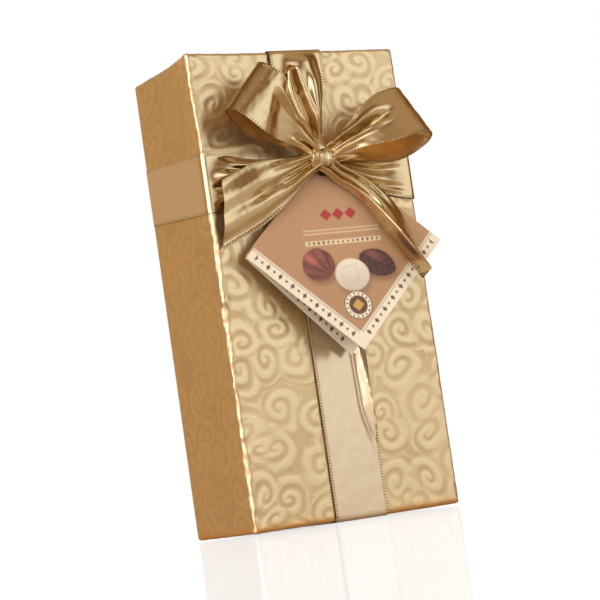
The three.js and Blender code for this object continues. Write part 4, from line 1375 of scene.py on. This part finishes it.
class CHOCBOX_OT_stage(bpy.types.Operator):
    """White floor and backdrop, soft studio light and the camera"""

    bl_idname = "chocbox.stage"
    bl_label = "Stage, light and camera"

    def execute(self, context):
        scene = context.scene
        scene.view_settings.view_transform = "Standard"
        self.camera(scene)
        self.floor()
        self.world(scene)
        lamps = (
            ("key_softbox", (0.75, -0.95, 0.75), (0.0, 0.0, 0.10), 0.7, 0.7, 4.0, (1.0, 0.97, 0.92), False),
            ("left_strip", (-0.95, -0.35, 0.45), (0.0, 0.0, 0.12), 0.10, 0.8, 1.0, (1.0, 0.95, 0.88), True),
            ("top_softbox", (-0.1, -0.2, 1.1), (0.0, 0.0, 0.1), 0.6, 0.6, 2.0, (1.0, 0.98, 0.95), False),
        )
        for lamp in lamps:
            self.lamp(*lamp)
        return {"FINISHED"}

    def camera(self, scene):
        right = np.array([0.87623, -0.45984, -0.14409])
        up = np.array([0.08423, -0.14827, 0.98535])
        back = -np.array([0.47447, 0.87554, 0.09119])
        data = bpy.data.cameras.new("product_camera")
        data.lens = 127.57
        data.sensor_width = 36.0
        data.clip_start = 0.02
        camera = bpy.data.objects.new("product_camera", data)
        turn = Matrix([[right[i], up[i], back[i], 0] for i in range(3)] + [[0, 0, 0, 1]])
        camera.matrix_world = Matrix.Translation((-0.43563, -0.80675, 0.01301)) @ turn
        scene.collection.objects.link(camera)
        scene.camera = camera

    def floor(self):
        """A white floor that mirrors a little, and stays white for the camera"""
        finish = Finish("white_floor", roughness=0.5, Specular_IOR_Level=0.25)
        mottle = finish.noise(finish.place(), 6.0, 2.0)
        finish.set(Base_Color=finish.mix(mottle, (0.235, 0.197, 0.178), (0.255, 0.215, 0.196)))
        seen, mirrored = finish.rays()
        seen = finish.math("MAXIMUM", seen, finish.times(mirrored, 0.30))
        finish.set(Emission_Color=finish.mix(mirrored, (0.86, 0.95, 1.0), (1.0, 0.62, 0.25)))
        finish.set(Emission_Strength=finish.times(seen, 0.91))
        mirror = finish.node("ShaderNodeBsdfGlossy", {"Color": (1, 1, 1, 1), "Roughness": 0.04})
        both = finish.node("ShaderNodeMixShader", {"Fac": 0.26})
        finish.put(both.inputs[1], finish.shader.outputs["BSDF"])
        finish.put(both.inputs[2], mirror.outputs["BSDF"])
        finish.put(finish.tree.nodes["Material Output"].inputs["Surface"], both.outputs["Shader"])
        half = 4000
        points = [(-half, -half, 0), (half, -half, 0), (half, half, 0), (-half, half, 0)]
        floor = make_piece("studio_floor", points, [(0, 1, 2, 3)], finish.material)

    def world(self, scene):
        """A white surround for the camera, and for reflections a studio with light and dark sides"""
        world = bpy.data.worlds.new("studio")
        world.use_nodes = True
        scene.world = world
        studio = Nodes(world.node_tree)
        towards = studio.node("ShaderNodeTexCoord").outputs["Generated"]
        colour = (0.245, 0.114, 0.026)
        sides = (
            ((0.47, -0.88, 0.09), 40, 10, (1.12, 1.29, 1.42)),
            ((-0.87, -0.48, 0.10), 50, 22, (2.55, 2.65, 2.9)),
            ((-0.47, 0.88, 0.09), 50, 15, (0.38, 0.27, 0.135)),
            ((0.47, 0.88, 0.09), 36, 24, (0.95, 0.95, 0.95)),
            ((0.20, -0.30, 0.93), 50, 15, (0.34, 0.31, 0.26)),
        )
        for direction, outer, inner, light in sides:
            facing = studio.vectors("DOT_PRODUCT", towards, tuple(unit(direction)))
            outer, inner = (math.cos(math.radians(angle)) for angle in (outer, inner))
            lit = studio.span(facing, outer, inner, 0.0, 1.0, "SMOOTHSTEP")
            colour = studio.mix(1.0, colour, studio.mix(lit, (0, 0, 0), light), "ADD")
        seen, _ = studio.rays()
        background = world.node_tree.nodes["Background"]
        studio.put(background.inputs["Color"], studio.mix(seen, colour, (1, 1, 1)))
        background.inputs["Strength"].default_value = 1.0

    def lamp(self, name, place, target, wide, tall, power, colour, mirrored):
        data = bpy.data.lights.new(name, "AREA")
        data.shape = "RECTANGLE"
        data.size, data.size_y, data.energy, data.color = wide, tall, power, colour
        lamp = bpy.data.objects.new(name, data)
        lamp.location = place
        lamp.visible_glossy = mirrored
        lamp.rotation_euler = (Vector(target) - Vector(place)).to_track_quat("-Z", "Y").to_euler()
        bpy.context.scene.collection.objects.link(lamp)


# ---------------------------------------------------------------- add-on


class CHOCBOX_PT_panel(bpy.types.Panel):
    """Steps and sizes of the chocolate box"""

    bl_idname = "CHOCBOX_PT_panel"
    bl_label = "Chocolate box"
    bl_space_type = "VIEW_3D"
    bl_region_type = "UI"
    bl_category = "Chocolate box"

    def draw(self, context):
        for operator in OPERATORS:
            self.layout.operator(operator.bl_idname)
        for label in ChocolateBoxSizes.__annotations__:
            self.layout.prop(context.scene.chocolate_box, label)


OPERATORS = (
    CHOCBOX_OT_stage, CHOCBOX_OT_boards, CHOCBOX_OT_paper, CHOCBOX_OT_ribbon_arms, CHOCBOX_OT_bow,
    CHOCBOX_OT_tag, CHOCBOX_OT_tray, CHOCBOX_OT_pralines, CHOCBOX_OT_pad,
)
CLASSES = (ChocolateBoxSizes, *OPERATORS, CHOCBOX_PT_panel)


def register():
    for each in CLASSES:
        bpy.utils.register_class(each)
    bpy.types.Scene.chocolate_box = bpy.props.PointerProperty(type=ChocolateBoxSizes)


def unregister():
    del bpy.types.Scene.chocolate_box
    for each in reversed(CLASSES):
        bpy.utils.unregister_class(each)


def main():
    register()
    bpy.ops.chocbox.stage()
    bpy.ops.chocbox.boards()
    bpy.ops.chocbox.paper()
    bpy.ops.chocbox.ribbon_arms()
    bpy.ops.chocbox.bow()
    bpy.ops.chocbox.tag()
    bpy.ops.chocbox.tray()
    bpy.ops.chocbox.pralines()
    bpy.ops.chocbox.pad()


if __name__ == "__main__":
    main()
